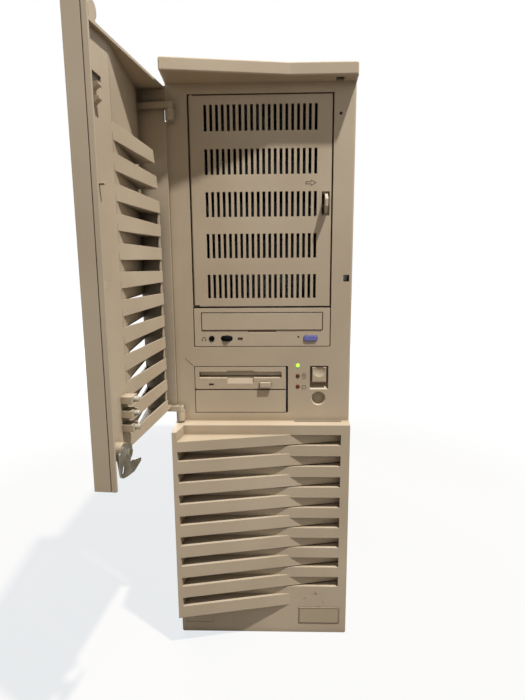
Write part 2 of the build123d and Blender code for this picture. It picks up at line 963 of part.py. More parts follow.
def stop_tab():
    """Rounded tab on the door's top that keeps the door from being lifted off its pins."""
    back_y = face_y - door_roof_reach
    front_y = back_y - plastic_wall
    z = hood_z - stop_tab_gap - stop_tab_radius
    foot_z = door_top_at(stop_tab_x + stop_tab_radius) - plastic_wall / 2
    half = stop_tab_radius * 0.6
    foot = block(stop_tab_x - half, stop_tab_x + stop_tab_radius, front_y, back_y, foot_z, z)
    return foot + rod_y(stop_tab_radius, stop_tab_x, z, front_y, back_y)


def make_door_shell():
    corner_x = door_corner_x()
    wall_x = half_width - front_inset
    inner_y = right_plane_y + plastic_wall
    flange_y = face_y - door_flange_reach
    wall_back_y = face_y - door_wall_reach
    roof_back_y = face_y - door_roof_reach
    outer_line = [(-wall_x, left_plane_y(-wall_x)), (crease_x, right_plane_y)]
    roof = [*outer_line, (corner_x, right_plane_y), (corner_x, roof_back_y), (-wall_x, roof_back_y)]
    floor = [*outer_line, (crease_x + 1, inner_y), (-wall_x, inner_y)]
    roof_low_z = door_top_z - door_top_fall - 2 * plastic_wall
    pieces = [
        right_slat(crease_x + 0.5, corner_x, door_bottom_z, door_top_z),
        upright(roof, roof_low_z, door_top_z) & over_door_top(plastic_wall),
        upright(floor, door_bottom_z, door_bottom_z + plastic_wall),
        block(corner_x - plastic_wall, corner_x, right_plane_y, flange_y, flange_bottom_z, door_top_z),
        hinge_wall(wall_x, roof_back_y, wall_back_y),
        hinge_arm(upper_knuckle_top_z + fit_gap),
        hinge_arm(lower_knuckle_top_z + fit_gap),
    ]
    slat_end_x = crease_x + 1
    slat_top = door_top_z
    for k in range(finger_count):
        top = finger_top_z - finger_pitch * k
        bottom = max(door_bottom_z, top - finger_height)
        pieces.append(finger(top, bottom))
        pieces.append(left_slat(-wall_x, slat_end_x, top - finger_lap, slat_top))
        slat_top = bottom + finger_cover
    pieces.append(left_slat(-wall_x, rim_wall * 2 - wall_x, door_bottom_z, door_top_z))
    web_y = inner_y - finger_web_step
    web_x = finger_end_x + plastic_wall
    strip_x = finger_end_x + finger_web_width
    pieces.append(block(finger_end_x, strip_x, right_plane_y, web_y, door_bottom_z, finger_cut_z))
    pieces.append(
        upright(
            [
                (finger_end_x, left_plane_y(finger_end_x) + 1),
                (web_x, left_plane_y(web_x) + 1),
                (web_x, web_y),
                (finger_end_x, web_y),
            ],
            door_bottom_z,
            finger_cut_z,
        )
    )
    pieces.append(
        block(
            keeper_x - keeper_width / 2,
            corner_x - 1,
            inner_y - 1,
            flange_y,
            keeper_z - keeper_height / 2,
            keeper_z + keeper_height / 2,
        )
    )
    for top in (hook_top_z, hook_top_z - hook_pitch):
        side = [
            (inner_y - 1, top - hook_height),
            (inner_y + hook_reach, top - hook_height / 3),
            (inner_y + hook_reach, top),
            (inner_y - 1, top),
        ]
        pieces.append(along_x(side, hook_x, hook_x + hook_width))
    pieces.append(rod_y(peg_radius, peg_x, peg_z, inner_y - 1, inner_y + hook_reach))
    for z in lamp_heights:
        pieces.append(
            block(
                lamp_x - pipe_arm_width / 2,
                lamp_x + pipe_arm_width / 2,
                inner_y - 1,
                face_y - pipe_arm_reach,
                z - pipe_arm_height / 2,
                z + pipe_arm_height / 2,
            )
        )
    boss_y = face_y - lock_cam_reach - fit_gap
    pieces.append(rod_y(lock_barrel_radius + rim_thickness, lock_x, lock_z, right_plane_y, boss_y - 2))
    door = pieces[0] + pieces[1:]
    hole_x = hook_x + hook_width
    hole_top_z = hook_top_z + hook_hole_height
    lip_y = flange_y - lip_width
    cuts = [
        over_door_top(0),
        rod_y(lock_barrel_radius, lock_x, lock_z, right_plane_y - 1, face_y),
        block(hole_x - hook_hole_width, hole_x, right_plane_y - 1, inner_y + 1, hook_top_z, hole_top_z),
        block(corner_x - lip_step, corner_x + 1, lip_y, lip_y + lip_step, flange_bottom_z - 1, tower_height),
    ]
    for z in lamp_heights:
        cuts.append(rod_y(pipe_radius, lamp_x, z, right_plane_y - 1, face_y))
    return opened(door - cuts + stop_tab())


def make_door_hinge_pins():
    pins = []
    for top_z in (upper_knuckle_top_z, lower_knuckle_top_z):
        low_z = top_z - knuckle_height + 1
        high_z = top_z + fit_gap + hinge_arm_thickness
        pins.append(opened(rod_z(hinge_pin_radius, hinge_x, hinge_y, low_z, high_z)))
    return Compound(children=pins)


def make_door_light_pipes():
    pipes = []
    for z in lamp_heights:
        pipe = rod_y(pipe_radius, lamp_x, z, right_plane_y, face_y - pipe_reach)
        pipes.append(opened(fillet(pipe.edges().sort_by(Axis.Y)[-1], pipe_radius / 3)))
    return Compound(children=pipes)


def make_lock_barrel():
    back_y = face_y - lock_cam_reach - fit_gap
    barrel = rod_y(lock_barrel_radius, lock_x, lock_z, right_plane_y - lock_flange_thickness, back_y)
    flange = rod_y(lock_flange_radius, lock_x, lock_z, right_plane_y - lock_flange_thickness, right_plane_y)
    flange = chamfer(flange.edges().sort_by(Axis.Y)[0], lock_flange_thickness / 2)
    bore = rod_y(lock_plug_radius + running_gap, lock_x, lock_z, right_plane_y - 10, face_y)
    return opened(barrel + flange - bore)


def lock_cam_back_y():
    return face_y - lock_cam_reach + lock_cam_thickness


def make_lock_plug():
    front_y = right_plane_y - lock_flange_thickness
    cam_y = face_y - lock_cam_reach
    plug = rod_y(lock_plug_radius, lock_x, lock_z, front_y, cam_y)
    key = Pos(lock_x, front_y, lock_z) * Box(lock_key_width, 2 * lock_key_depth, lock_key_height)
    stud = rod_y(lock_stud_radius, lock_x, lock_z, cam_y, lock_cam_back_y() + lock_nut_thickness)
    return opened(plug + stud - key)


def hook_plate(*rounds):
    """Plate of the lock's hook: the outline stretched round some of its rounds."""
    edges = [(Pos(x, z) * Circle(radius)).edges() for x, z, radius in rounds]
    outline = make_hull([edge for group in edges for edge in group])
    return extrude(outline, lock_cam_thickness)


def make_lock_cam():
    """Plated hook on the plug, with a square hole in its lobe and a throat above its arm."""
    cam = hook_plate(hook_hub, hook_cheek, hook_lobe) + [
        hook_plate(hook_lobe, hook_root),
        hook_plate(hook_root, hook_bend),
        hook_plate(hook_bend, hook_tip),
    ]
    hole = Pos(hook_lobe[0], hook_lobe[1]) * Rot(0, 0, 30) * Box(hook_hole_size, hook_hole_size, 20)
    cam = cam - [hook_plate(hook_throat, hook_mouth), hole, Cylinder(lock_stud_radius, 20)]
    return opened(Pos(lock_x, lock_cam_back_y(), lock_z) * Rot(90, 0, 0) * cam)


def make_lock_nut():
    nut = extrude(RegularPolygon(lock_nut_radius, 6), lock_nut_thickness)
    nut = nut - Cylinder(lock_stud_radius, 4 * lock_nut_thickness)
    return opened(Pos(lock_x, lock_cam_back_y(), lock_z) * Rot(-90, 0, 0) * nut)


# Bay door
def bay_door_x0():
    return bay_door_left_gap - bay_half


def bay_pin_x():
    return bay_door_x0() + bay_pin_offset


def bay_pin_y():
    return face_y + bay_door_inset + bay_door_thickness / 2


def make_bay_door():
    front_y = face_y + bay_door_inset
    back_y = front_y + bay_door_thickness
    z0 = bay_cover_z + bay_door_gap
    z1 = bay_top_z - bay_door_gap
    door = block(bay_door_x0(), bay_half - bay_door_right_gap, front_y, back_y, z0, z1)
    door = fillet(door.edges().filter_by(Axis.Z).sort_by(Axis.X)[:2], bay_door_thickness * 0.45)
    rail_gap = latch_window_height / 2 + latch_plate_margin + fit_gap
    rail_x0 = latch_x - latch_window_width / 2 - latch_plate_margin
    rail_x1 = bay_half - bay_door_right_gap - 1
    rail_depth = latch_plate_thickness + fit_gap
    rails = []
    for side in (-1, 1):
        a, b = sorted((latch_z + side * rail_gap, latch_z + side * (rail_gap + 2)))
        rails.append(block(rail_x0, rail_x1, back_y, back_y + rail_depth, a, b))
        a, b = sorted((latch_z + side * (rail_gap - 1.5), latch_z + side * (rail_gap + 2)))
        rails.append(block(rail_x0, rail_x1, back_y + rail_depth, back_y + rail_depth + 1, a, b))
    door = door + rails
    cuts = [
        block(
            latch_x - latch_window_width / 2,
            latch_x + latch_window_width / 2,
            front_y - 1,
            back_y + 1,
            latch_z - latch_window_height / 2,
            latch_z + latch_window_height / 2,
        ),
        block(
            bay_door_x0() - 1,
            -bay_half + ear_width + 1,
            front_y - 1,
            back_y + 1,
            z0 - 1,
            bay_cover_z + bay_door_gap / 2 + ear_height + fit_gap,
        ),
        rod_z(bay_pin_radius, bay_pin_x(), bay_pin_y(), z0 - 1, z0 + bay_pin_length),
        rod_z(bay_pin_radius, bay_pin_x(), bay_pin_y(), z1 - bay_pin_length + ear_height, z1 + 1),
    ]
    mid_z = (z0 + z1) / 2
    for row in range(vent_rows):
        z = mid_z + (row - (vent_rows - 1) / 2) * vent_row_pitch
        for column in range(vent_columns):
            x = (column - (vent_columns - 1) / 2) * vent_pitch
            cuts.append(Pos(x, front_y, z) * Box(vent_width, 4 * bay_door_thickness, vent_height))
    return door - cuts


def make_bay_door_pins():
    z0 = bay_cover_z + bay_door_gap
    z1 = bay_top_z - bay_door_gap
    low = rod_z(bay_pin_radius, bay_pin_x(), bay_pin_y(), bay_cover_z + bay_door_gap / 2, z0 + bay_pin_length)
    high_z = z1 - bay_pin_length + ear_height
    high = rod_z(bay_pin_radius, bay_pin_x(), bay_pin_y(), high_z, z1 + bay_door_gap + ear_height)
    return Compound(children=[low, high])


def make_bay_latch():
    back_y = face_y + bay_door_inset + bay_door_thickness
    plate = block(
        latch_x - latch_window_width / 2 - latch_plate_margin + fit_gap,
        bay_half - bay_door_right_gap - latch_travel - 1,
        back_y + fit_gap / 2,
        back_y + fit_gap / 2 + latch_plate_thickness,
        latch_z - latch_window_height / 2 - latch_plate_margin,
        latch_z + latch_window_height / 2 + latch_plate_margin,
    )
    tab_x = latch_x + latch_window_width / 2 - latch_travel - fit_gap - latch_tab_width
    half = latch_tab_height / 2
    tip_y = face_y - latch_tab_reach
    tab = along_x(
        [
            (back_y + 1, latch_z - half),
            (face_y - 2, latch_z - half),
            (tip_y, latch_z - half * 0.45),
            (tip_y, latch_z + half * 0.45),
            (face_y - 2, latch_z + half),
            (back_y + 1, latch_z + half),
        ],
        tab_x,
        tab_x + latch_tab_width,
    )
    tab = fillet(tab.edges().filter_by(Axis.X).sort_by(Axis.Y)[:4], 2.0)
    window_half = latch_window_height / 2 - latch_bridge
    window = block(
        latch_x - latch_window_width / 2,
        latch_x + latch_window_width / 2 - latch_travel,
        back_y,
        back_y + 2 * latch_plate_thickness,
        latch_z - window_half,
        latch_z + window_half,
    )
    root = block(
        tab_x,
        tab_x + latch_tab_width,
        back_y + fit_gap / 2,
        back_y + fit_gap / 2 + latch_plate_thickness,
        latch_z - window_half - 1,
        latch_z + window_half + 1,
    )
    return plate - window + [root, tab]


# Compact-disc drive
def cd_floor_z():
    return bay_floor_z + (bay_pitch - cd_bezel_height) / 2


def tray_bottom_z():
    return cd_tray_center_z - cd_tray_height / 2


def eject_block(grow, y0, y1):
    button = block(
        cd_eject_x - cd_eject_width / 2 - grow,
        cd_eject_x + cd_eject_width / 2 + grow,
        y0,
        y1,
        cd_controls_z - cd_eject_height / 2 - grow,
        cd_controls_z + cd_eject_height / 2 + grow,
    )
    return fillet(button.edges().filter_by(Axis.Y), cd_eject_corner + grow)


def volume_disc(grow):
    """Disc with a full round rim, for the volume wheel and the pockets it turns in."""
    half = volume_height / 2 + grow
    disc = rod_z(volume_radius + grow, volume_x, volume_y, cd_controls_z - half, cd_controls_z + half)
    return fillet(disc.edges().filter_by(GeomType.CIRCLE), 0.9 * half)


def tray_slot(y0, y1, grow):
    return block(
        -cd_tray_width / 2 - grow,
        cd_tray_width / 2 + grow,
        y0,
        y1,
        tray_bottom_z() - grow,
        tray_bottom_z() + cd_tray_height + grow,
    )


def make_cd_bezel():
    bezel = block(
        -cd_bezel_width / 2,
        cd_bezel_width / 2,
        face_y,
        face_y + cd_bezel_depth,
        cd_floor_z(),
        cd_floor_z() + cd_bezel_height,
    )
    bezel = fillet(bezel.edges().filter_by(Axis.Y), 1.0)
    back_y = face_y + cd_bezel_depth + 1
    cuts = [
        tray_slot(face_y - 1, back_y, cd_tray_gap),
        eject_block(fit_gap, face_y - 1, back_y),
        volume_disc(fit_gap),
        rod_y(jack_radius, jack_x, cd_controls_z, face_y - 1, back_y),
        rod_y(pinhole_radius, pinhole_x, cd_controls_z + cd_eject_height / 4, face_y - 1, back_y),
        block(
            cd_lamp_x - cd_lamp_width / 2,
            cd_lamp_x + cd_lamp_width / 2,
            face_y - 1,
            back_y,
            cd_controls_z - cd_lamp_height / 2,
            cd_controls_z + cd_lamp_height / 2,
        ),
        along_x(
            [
                (face_y, tray_bottom_z() - finger_notch_height),
                (face_y + finger_notch_depth, tray_bottom_z()),
                (face_y, tray_bottom_z()),
            ],
            -finger_notch_width / 2,
            finger_notch_width / 2,
        ),
    ]
    return bezel - cuts


def make_cd_chassis():
    y0 = face_y + cd_bezel_depth
    half = cd_body_width / 2
    z0 = cd_floor_z()
    z1 = z0 + cd_bezel_height - 1
    body = block(-half, half, y0, y0 + cd_body_depth, z0, z1)
    inner = half - sheet
    body = body - block(-inner, inner, y0 + sheet, y0 + cd_body_depth - sheet, z0 + sheet, z1 - sheet)
    wheel_half = volume_height / 2
    bracket_x = volume_radius + 4
    bracket_y = volume_y + volume_radius
    shelf_z = cd_controls_z + wheel_half + 1
    bracket = block(volume_x - bracket_x, volume_x + bracket_x, y0, bracket_y, z0, shelf_z + sheet)
    rails = []
    for side in (-1, 1):
        a, b = sorted((side * half, side * (cd_tray_width / 2 - 6)))
        rail_z = tray_bottom_z() - 2 * fit_gap
        rails.append(block(a, b, y0, y0 + cd_body_depth, rail_z - 3, rail_z))
    body = body + bracket + rails
    cuts = [
        tray_slot(y0 - 1, face_y + cd_tray_length + 4, cd_tray_gap + fit_gap),
        eject_block(1, y0 - 1, y0 + cd_eject_travel + 8),
        volume_disc(1),
    ]
    body = body - cuts
    pin = rod_z(volume_pin_radius, volume_x, volume_y, cd_controls_z - wheel_half - 2, shelf_z + sheet / 2)
    return body + pin


def make_cd_tray():
    front = block(
        -cd_tray_width / 2,
        cd_tray_width / 2,
        face_y - 0.6,
        face_y + cd_bezel_depth,
        tray_bottom_z(),
        tray_bottom_z() + cd_tray_height,
    )
    bed = block(
        -cd_tray_width / 2,
        cd_tray_width / 2,
        face_y + cd_bezel_depth,
        face_y + cd_tray_length,
        tray_bottom_z(),
        tray_bottom_z() + cd_tray_floor,
    )
    center_y = face_y + cd_bezel_depth + disc_radius + 4
    bed_top = tray_bottom_z() + cd_tray_floor
    cuts = [
        rod_z(disc_radius, 0, center_y, bed_top - disc_recess_depth, bed_top + 1),
        rod_z(spindle_hole_radius, 0, center_y, tray_bottom_z() - 1, bed_top + 1),
        block(
            -spindle_hole_radius,
            spindle_hole_radius,
            center_y,
            center_y + disc_radius - 6,
            tray_bottom_z() - 1,
            bed_top + 1,
        ),
    ]
    return front + (bed - cuts)


def make_cd_eject_button():
    button = eject_block(0, face_y - cd_eject_proud, face_y + cd_bezel_depth + 4)
    return fillet(button.faces().sort_by(Axis.Y)[0].edges(), 0.8)


def make_cd_volume_wheel():
    wheel = volume_disc(0)
    grooves = []
    for k in range(volume_ridges):
        groove = block(volume_radius - 0.5, volume_radius + 1, -0.4, 0.4, -volume_height, volume_height)
        turn = Rot(0, 0, 360 * k / volume_ridges)
        grooves.append(Pos(volume_x, volume_y, cd_controls_z) * turn * groove)
    hole = rod_z(
        volume_pin_radius + running_gap, volume_x, volume_y, cd_controls_z - 10, cd_controls_z + 10
    )
    return wheel - grooves - hole


def make_headphone_jack():
    jack = rod_y(jack_radius, jack_x, cd_controls_z, face_y - 0.4, face_y + cd_bezel_depth)
    return jack - rod_y(jack_bore_radius, jack_x, cd_controls_z, face_y - 1, face_y + cd_bezel_depth + 1)


def make_cd_lamp():
    return block(
        cd_lamp_x - cd_lamp_width / 2,
        cd_lamp_x + cd_lamp_width / 2,
        face_y - 0.3,
        face_y + cd_bezel_depth,
        cd_controls_z - cd_lamp_height / 2,
        cd_controls_z + cd_lamp_height / 2,
    )


# Diskette drive
def floppy_x0():
    return small_opening_x0 + fit_gap


def floppy_floor_z():
    return small_floor_z + small_pitch + (small_pitch - floppy_height) / 2


def floppy_slot_center_x():
    return floppy_x0() + floppy_width / 2


def floppy_button_block(grow, y0, y1):
    return block(
        floppy_button_x - floppy_button_width / 2 - grow,
        floppy_button_x + floppy_button_width / 2 + grow,
        y0,
        y1,
        floppy_button_z - floppy_button_height / 2 - grow,
        floppy_button_z + floppy_button_height / 2 + grow,
    )


def floppy_lamp_block(y0, y1):
    return block(
        floppy_lamp_x - floppy_lamp_width / 2,
        floppy_lamp_x + floppy_lamp_width / 2,
        y0,
        y1,
        floppy_lamp_z - floppy_lamp_height / 2,
        floppy_lamp_z + floppy_lamp_height / 2,
    )


def make_floppy_bezel():
    x0 = floppy_x0()
    z0 = floppy_floor_z()
    bezel = block(x0, x0 + floppy_width, face_y, face_y + floppy_bezel_depth, z0, z0 + floppy_height)
    bezel = fillet(bezel.edges().filter_by(Axis.Y), 0.8)
    back_y = face_y + floppy_bezel_depth
    mid_x = floppy_slot_center_x()
    slot_half = floppy_slot_width / 2
    low = floppy_slot_z - floppy_slot_height / 2
    high = floppy_slot_z + floppy_slot_height / 2
    bevel = floppy_slot_bevel
    slot = along_x(
        [
            (face_y - 1, low - bevel * 4 / 3),
            (face_y + 3 * bevel - 1, low),
            (back_y + 1, low),
            (back_y + 1, high),
            (face_y + bevel, high),
            (face_y - 1, high + bevel),
        ],
        mid_x - slot_half,
        mid_x + slot_half,
    )
    notch = along_x(
        [
            (face_y - 1, floppy_notch_bottom_z),
            (face_y + floppy_notch_depth, low),
            (face_y + floppy_notch_depth, high),
            (face_y - 1, high + 3),
        ],
        mid_x - floppy_notch_width / 2,
        mid_x + floppy_notch_width / 2,
    )
    cuts = [
        slot,
        notch,
        floppy_button_block(fit_gap, face_y - 1, back_y + 1),
        floppy_lamp_block(face_y - 1, back_y + 1),
    ]
    return bezel - cuts


def flap_axis_z():
    return floppy_slot_z + floppy_slot_height / 2 + flap_pin_radius


def flap_axis_y():
    return face_y + floppy_bezel_depth + fit_gap + flap_pin_radius


def flap_ends():
    mid_x = floppy_slot_center_x()
    half = floppy_slot_width / 2 - fit_gap
    return mid_x - half, mid_x + half


def make_floppy_chassis():
    x0 = floppy_x0()
    z0 = floppy_floor_z()
    y0 = face_y + floppy_bezel_depth
    z1 = z0 + floppy_height - 1
    body = block(x0, x0 + floppy_width, y0, y0 + floppy_body_depth, z0, z1)
    lower_top_z = floppy_slot_z - floppy_slot_height / 2 - sheet
    body = body - block(
        x0 + sheet,
        x0 + floppy_width - sheet,
        y0 + sheet,
        y0 + floppy_body_depth - sheet,
        z0 + sheet,
        lower_top_z,
    )
    mid_x = floppy_slot_center_x()
    half = floppy_slot_width / 2
    low = floppy_slot_z - floppy_slot_height / 2
    cavity_top = flap_axis_z() + flap_pin_radius + 2 * fit_gap
    cuts = [
        block(mid_x - half, mid_x + half, y0 - 1, y0 + floppy_cavity_depth, low, cavity_top),
        floppy_button_block(1, y0 - 1, y0 + floppy_button_travel + 8),
    ]
    for x in flap_ends():
        cuts.append(rod_x(flap_pin_radius + running_gap, flap_axis_y(), flap_axis_z(), x - 2.4, x + 2.4))
        cuts.append(
            block(
                x - 2.4,
                x + 2.4,
                y0 - 1,
                flap_axis_y(),
                flap_axis_z() - flap_pin_radius - running_gap,
                flap_axis_z() + flap_pin_radius + running_gap,
            )
        )
    return body - cuts


def make_floppy_flap():
    x0, x1 = flap_ends()
    y0 = flap_axis_y() - flap_thickness / 2
    low = floppy_slot_z - floppy_slot_height / 2 + fit_gap
    flap = block(x0, x1, y0, y0 + flap_thickness, low, flap_axis_z())
    return flap + rod_x(flap_pin_radius, flap_axis_y(), flap_axis_z(), x0 - 2, x1 + 2)


def make_floppy_eject_button():
    button = floppy_button_block(0, face_y - floppy_button_proud, face_y + floppy_bezel_depth + 4)
    return fillet(button.faces().sort_by(Axis.Y)[0].edges(), 0.7)


def make_floppy_lamp():
    return floppy_lamp_block(face_y - 0.2, face_y + floppy_bezel_depth)


def make_blank_bezel():
    x0 = floppy_x0()
    z0 = small_floor_z + (small_pitch - floppy_height) / 2
    depth = bezel_return - fit_gap
    blank = block(x0, x0 + floppy_width, face_y, face_y + depth, z0, z0 + floppy_height)
    blank = fillet(blank.edges().filter_by(Axis.Y), 0.8)
    return blank - block(
        x0 + plastic_wall,
        x0 + floppy_width - plastic_wall,
        face_y + plastic_wall,
        face_y + depth + 1,
        z0 + plastic_wall,
        z0 + floppy_height - plastic_wall,
    )


def make_floppy_cage():
    """Sheet-steel sleeve behind the small opening."""
    x0 = small_opening_x0
    x1 = floppy_x0() + floppy_width + fit_gap
    y1 = bulkhead_back_y + floppy_body_depth - bezel_return
    outer = block(x0 - sheet, x1 + sheet, bulkhead_back_y, y1, small_floor_z - sheet, small_top_z + sheet)
    return outer - block(x0, x1, bulkhead_back_y - 1, y1 + 1, small_floor_z, small_top_z)


# Lamps and power button
def lamp(z):
    board_y = face_y + bezel_return / 2
    body = rod_y(lamp_radius, lamp_x, z, face_y - 0.6, board_y)
    return fillet(body.edges().sort_by(Axis.Y)[0], lamp_radius * 0.5)


def make_status_lamps():
    return Compound(children=[lamp(z) for z in lamp_heights[1:]])


def power_button_block(grow, y0, y1):
    top_z = power_recess_bottom_z + power_recess_height - power_button_top_gap
    return block(
        power_x - power_button_width / 2 - grow,
        power_x + power_button_width / 2 + grow,
        y0,
        y1,
        top_z - power_button_height - grow,
        top_z + grow,
    )


def make_power_button():
    """Push button with a scooped finger face."""
    front_y = face_y - power_button_proud
    back_y = face_y + bezel_return / 2 - power_button_travel - fit_gap
    button = power_button_block(0, front_y, back_y)
    button = fillet(button.faces().sort_by(Axis.Y)[0].edges(), 0.8)
    top_z = power_recess_bottom_z + power_recess_height - power_button_top_gap
    scoop_y = front_y - power_scoop_radius + power_scoop_depth
    return button - Pos(power_x, scoop_y, top_z - power_button_height / 4) * Sphere(power_scoop_radius)


def make_indicator_board():
    board_y = face_y + bezel_return / 2
    x0 = small_opening_x1 + 2 * rim_thickness + 1
    z0 = small_floor_z + 2
    x1 = half_width - plastic_wall - fit_gap
    board = block(x0, x1, board_y, board_y + board_thickness, z0, small_top_z + 6)
    clear_y = face_y + lock_recess_depth
    return board - rod_y(lock_recess_radius + 3, lock_x, lock_z, clear_y, board_y + 5)


def make_power_switch():
    board_y = face_y + bezel_return / 2 + board_thickness
    top_z = power_recess_bottom_z + power_recess_height - power_button_top_gap
    mid_z = top_z - power_button_height / 2
    return block(power_x - 6, power_x + 6, board_y, bezel_back_y, mid_z - 6, mid_z + 6)


# Drives behind the bay door
def make_drive_cage():
    half = cd_body_width / 2 + fit_gap
    y1 = bulkhead_back_y + cage_depth
    outer = block(-half - sheet, half + sheet, bulkhead_back_y, y1, bay_floor_z - sheet, bay_top_z + sheet)
    cage = outer - block(-half, half, bulkhead_back_y - 1, y1 + 1, bay_floor_z, bay_top_z)
    shelves = []
    for k in range(1, covered_bays):
        z = bay_cover_z + bay_pitch * k
        for side in (-1, 1):
            a, b = sorted((side * half, side * (half - 6)))
            shelves.append(block(a, b, bulkhead_back_y, y1, z - sheet, z))
    windows = []
    for k in range(covered_bays):
        z = bay_cover_z + bay_pitch * (k + 0.5)
        windows.append(block(-half - 2 * sheet, half + 2 * sheet, y1 - 90, y1 - 20, z - 8, z + 8))
    return cage + shelves - windows


def carrier_floor_z(k):
    return bay_cover_z + bay_pitch * (k + 1)


def make_drive_carriers():
    """Trays that slide on the cage's shelves, each with a front grip bar."""
    half = cd_body_width / 2 - fit_gap
    y0 = bulkhead_back_y
    y1 = y0 + hard_drive_length + 8
    carriers = []
    for k in range(hard_drive_count):
        z0 = carrier_floor_z(k)
        tray = block(-half, half, y0, y1, z0, z0 + carrier_wall)
        for side in (-1, 1):
            a, b = sorted((side * half, side * (half - carrier_wall)))
            tray = tray + block(a, b, y0, y1, z0, z0 + hard_drive_height)
        tray = tray + block(-half, half, y0, y0 + carrier_wall, z0, z0 + hard_drive_height / 2)
        carriers.append(tray)
    return Compound(children=carriers)


def make_hard_drives():
    drives = []
    y0 = bulkhead_back_y + 2 * carrier_wall
    for k in range(hard_drive_count):
        z0 = carrier_floor_z(k) + carrier_wall
        half = hard_drive_width / 2
        drive = block(-half, half, y0, y0 + hard_drive_length, z0, z0 + hard_drive_height)
        drives.append(fillet(drive.edges().filter_by(Axis.Z), 3))
    return Compound(children=drives)


# Power supply and fan
def supply_center_z():
    return supply_bottom_z + supply_height / 2


def make_power_supply():
    y0 = panel_back_y - supply_depth
    half = supply_width / 2
    z0 = supply_bottom_z
    z1 = supply_bottom_z + supply_height
    case = block(-half, half, y0, panel_back_y, z0, z1)
    case = case - block(sheet - half, half - sheet, y0 + sheet, panel_back_y - sheet, z0 + sheet, z1 - sheet)
    cuts = [
        rod_y(fan_bore_radius - 1, fan_x, supply_center_z(), panel_back_y - 5, panel_back_y + 1),
        block(
            inlet_x - inlet_width / 2 - fit_gap,
            inlet_x + inlet_width / 2 + fit_gap,
            panel_back_y - 5,
            panel_back_y + 1,
            supply_center_z() - inlet_height / 2 - fit_gap,
            supply_center_z() + inlet_height / 2 + fit_gap,
        ),
    ]
    for k in range(supply_vent_count):
        x = (k - (supply_vent_count - 1) / 2) * supply_vent_pitch - supply_vent_width / 2
        vent_z0 = z0 + supply_vent_margin
        vent_z1 = z1 - supply_vent_margin
        cuts.append(block(x, x + supply_vent_width, y0 - 1, y0 + 5, vent_z0, vent_z1))
    return case - cuts


def fan_back_y():
    return panel_back_y - sheet


def make_fan_frame():
    y1 = fan_back_y()
    y0 = y1 - fan_depth
    half = fan_size / 2
    z = supply_center_z()
    frame = block(fan_x - half, fan_x + half, y0, y1, z - half, z + half)
    frame = fillet(frame.edges().filter_by(Axis.Y), 4)
    frame = frame - rod_y(fan_bore_radius, fan_x, z, y0 - 1, y1 + 1)
    struts = []
    for k in range(4):
        strut = block(0, fan_bore_radius + 1, y0, y0 + 3, -2, 2).rotate(Axis.Y, 45 + 90 * k)
        struts.append(Pos(fan_x, 0, z) * strut)
    cup = rod_y(fan_hub_radius, fan_x, z, y0, y0 + 3)
    shaft = rod_y(fan_shaft_radius, fan_x, z, y0, y1 - 3)
    return frame + struts + [cup, shaft]


def make_fan_rotor():
    y1 = fan_back_y()
    y0 = y1 - fan_depth + 3 + fit_gap
    z = supply_center_z()
    hub = rod_y(fan_hub_radius, 0, 0, y0, y1 - 2)
    hub = fillet(hub.edges().sort_by(Axis.Y)[-1], 2)
    blades = []
    length = fan_blade_radius - fan_hub_radius + 3
    chord = (y1 - y0 - 6) / math.cos(math.radians(fan_blade_tilt))
    mid_y = (y0 + y1 - 2) / 2
    for k in range(fan_blade_count):
        blade = Box(length, chord, fan_blade_thickness).rotate(Axis.X, fan_blade_tilt)
        blade = Pos(fan_hub_radius - 3 + length / 2, mid_y, 0) * blade
        blades.append(blade.rotate(Axis.Y, 360 * k / fan_blade_count))
    rotor = hub + blades
    rotor = rotor & rod_y(fan_blade_radius, 0, 0, y0, y1)
    bore = rod_y(fan_shaft_radius + running_gap, 0, 0, y0 - 1, y1 - 3 + fit_gap)
    return Pos(fan_x, 0, z) * (rotor - bore)


def make_fan_guard():
    """Wire rings held by two crossing wires, outside the rear panel."""
    z = supply_center_z()
    y = rear_y + guard_wire_radius
    wires = []
    for k in range(1, guard_ring_count + 1):
        ring = Torus(guard_ring_step * k, guard_wire_radius)
        wires.append(Pos(fan_x, y, z) * Rot(90, 0, 0) * ring)
    reach = fan_bore_radius + guard_wire_margin
    for angle in (45, 135):
        wires.append(Pos(fan_x, y, z) * (rod_x(guard_wire_radius, 0, 0, -reach, reach).rotate(Axis.Y, angle)))
    return wires[0] + wires[1:]


def make_mains_inlet():
    """Three-pin mains inlet: a recess with blade pins, and a flange outside the panel."""
    z = supply_center_z()
    mouth_y = rear_y + inlet_proud
    body = block(
        inlet_x - inlet_width / 2,
        inlet_x + inlet_width / 2,
        mouth_y - inlet_depth,
        mouth_y,
        z - inlet_height / 2,
        z + inlet_height / 2,
    )
    flange = Pos(inlet_x, rear_y + inlet_proud / 2, z) * Box(inlet_width + 6, inlet_proud, inlet_height + 6)
    flange = fillet(flange.edges().filter_by(Axis.Y), 3)
    floor_y = mouth_y - inlet_mouth_depth
    half_w = inlet_mouth_width / 2
    half_h = inlet_mouth_height / 2
    corner = inlet_mouth_height * 0.3
    mouth = along_y(
        [
            (inlet_x - half_w, z - half_h),
            (inlet_x + half_w, z - half_h),
            (inlet_x + half_w, z + half_h - corner),
            (inlet_x + half_w - corner, z + half_h),
            (inlet_x - half_w + corner, z + half_h),
            (inlet_x - half_w, z + half_h - corner),
        ],
        floor_y,
        mouth_y + 1,
    )
    pins = []
    for k in (-1, 0, 1):
        pin_z = z + (2 if k == 0 else -2)
        x = inlet_x + k * inlet_pin_spacing
        pins.append(
            block(
                x - inlet_pin_thickness / 2,
                x + inlet_pin_thickness / 2,
                floor_y - 1,
                floor_y + inlet_pin_length,
                pin_z - inlet_pin_width / 2,
                pin_z + inlet_pin_width / 2,
            )
        )
    return body + flange - mouth + pins


# System board
def board_front_x():
    """Face of the system board that carries the components."""
    return board_tray_x - board_gap - board_thickness


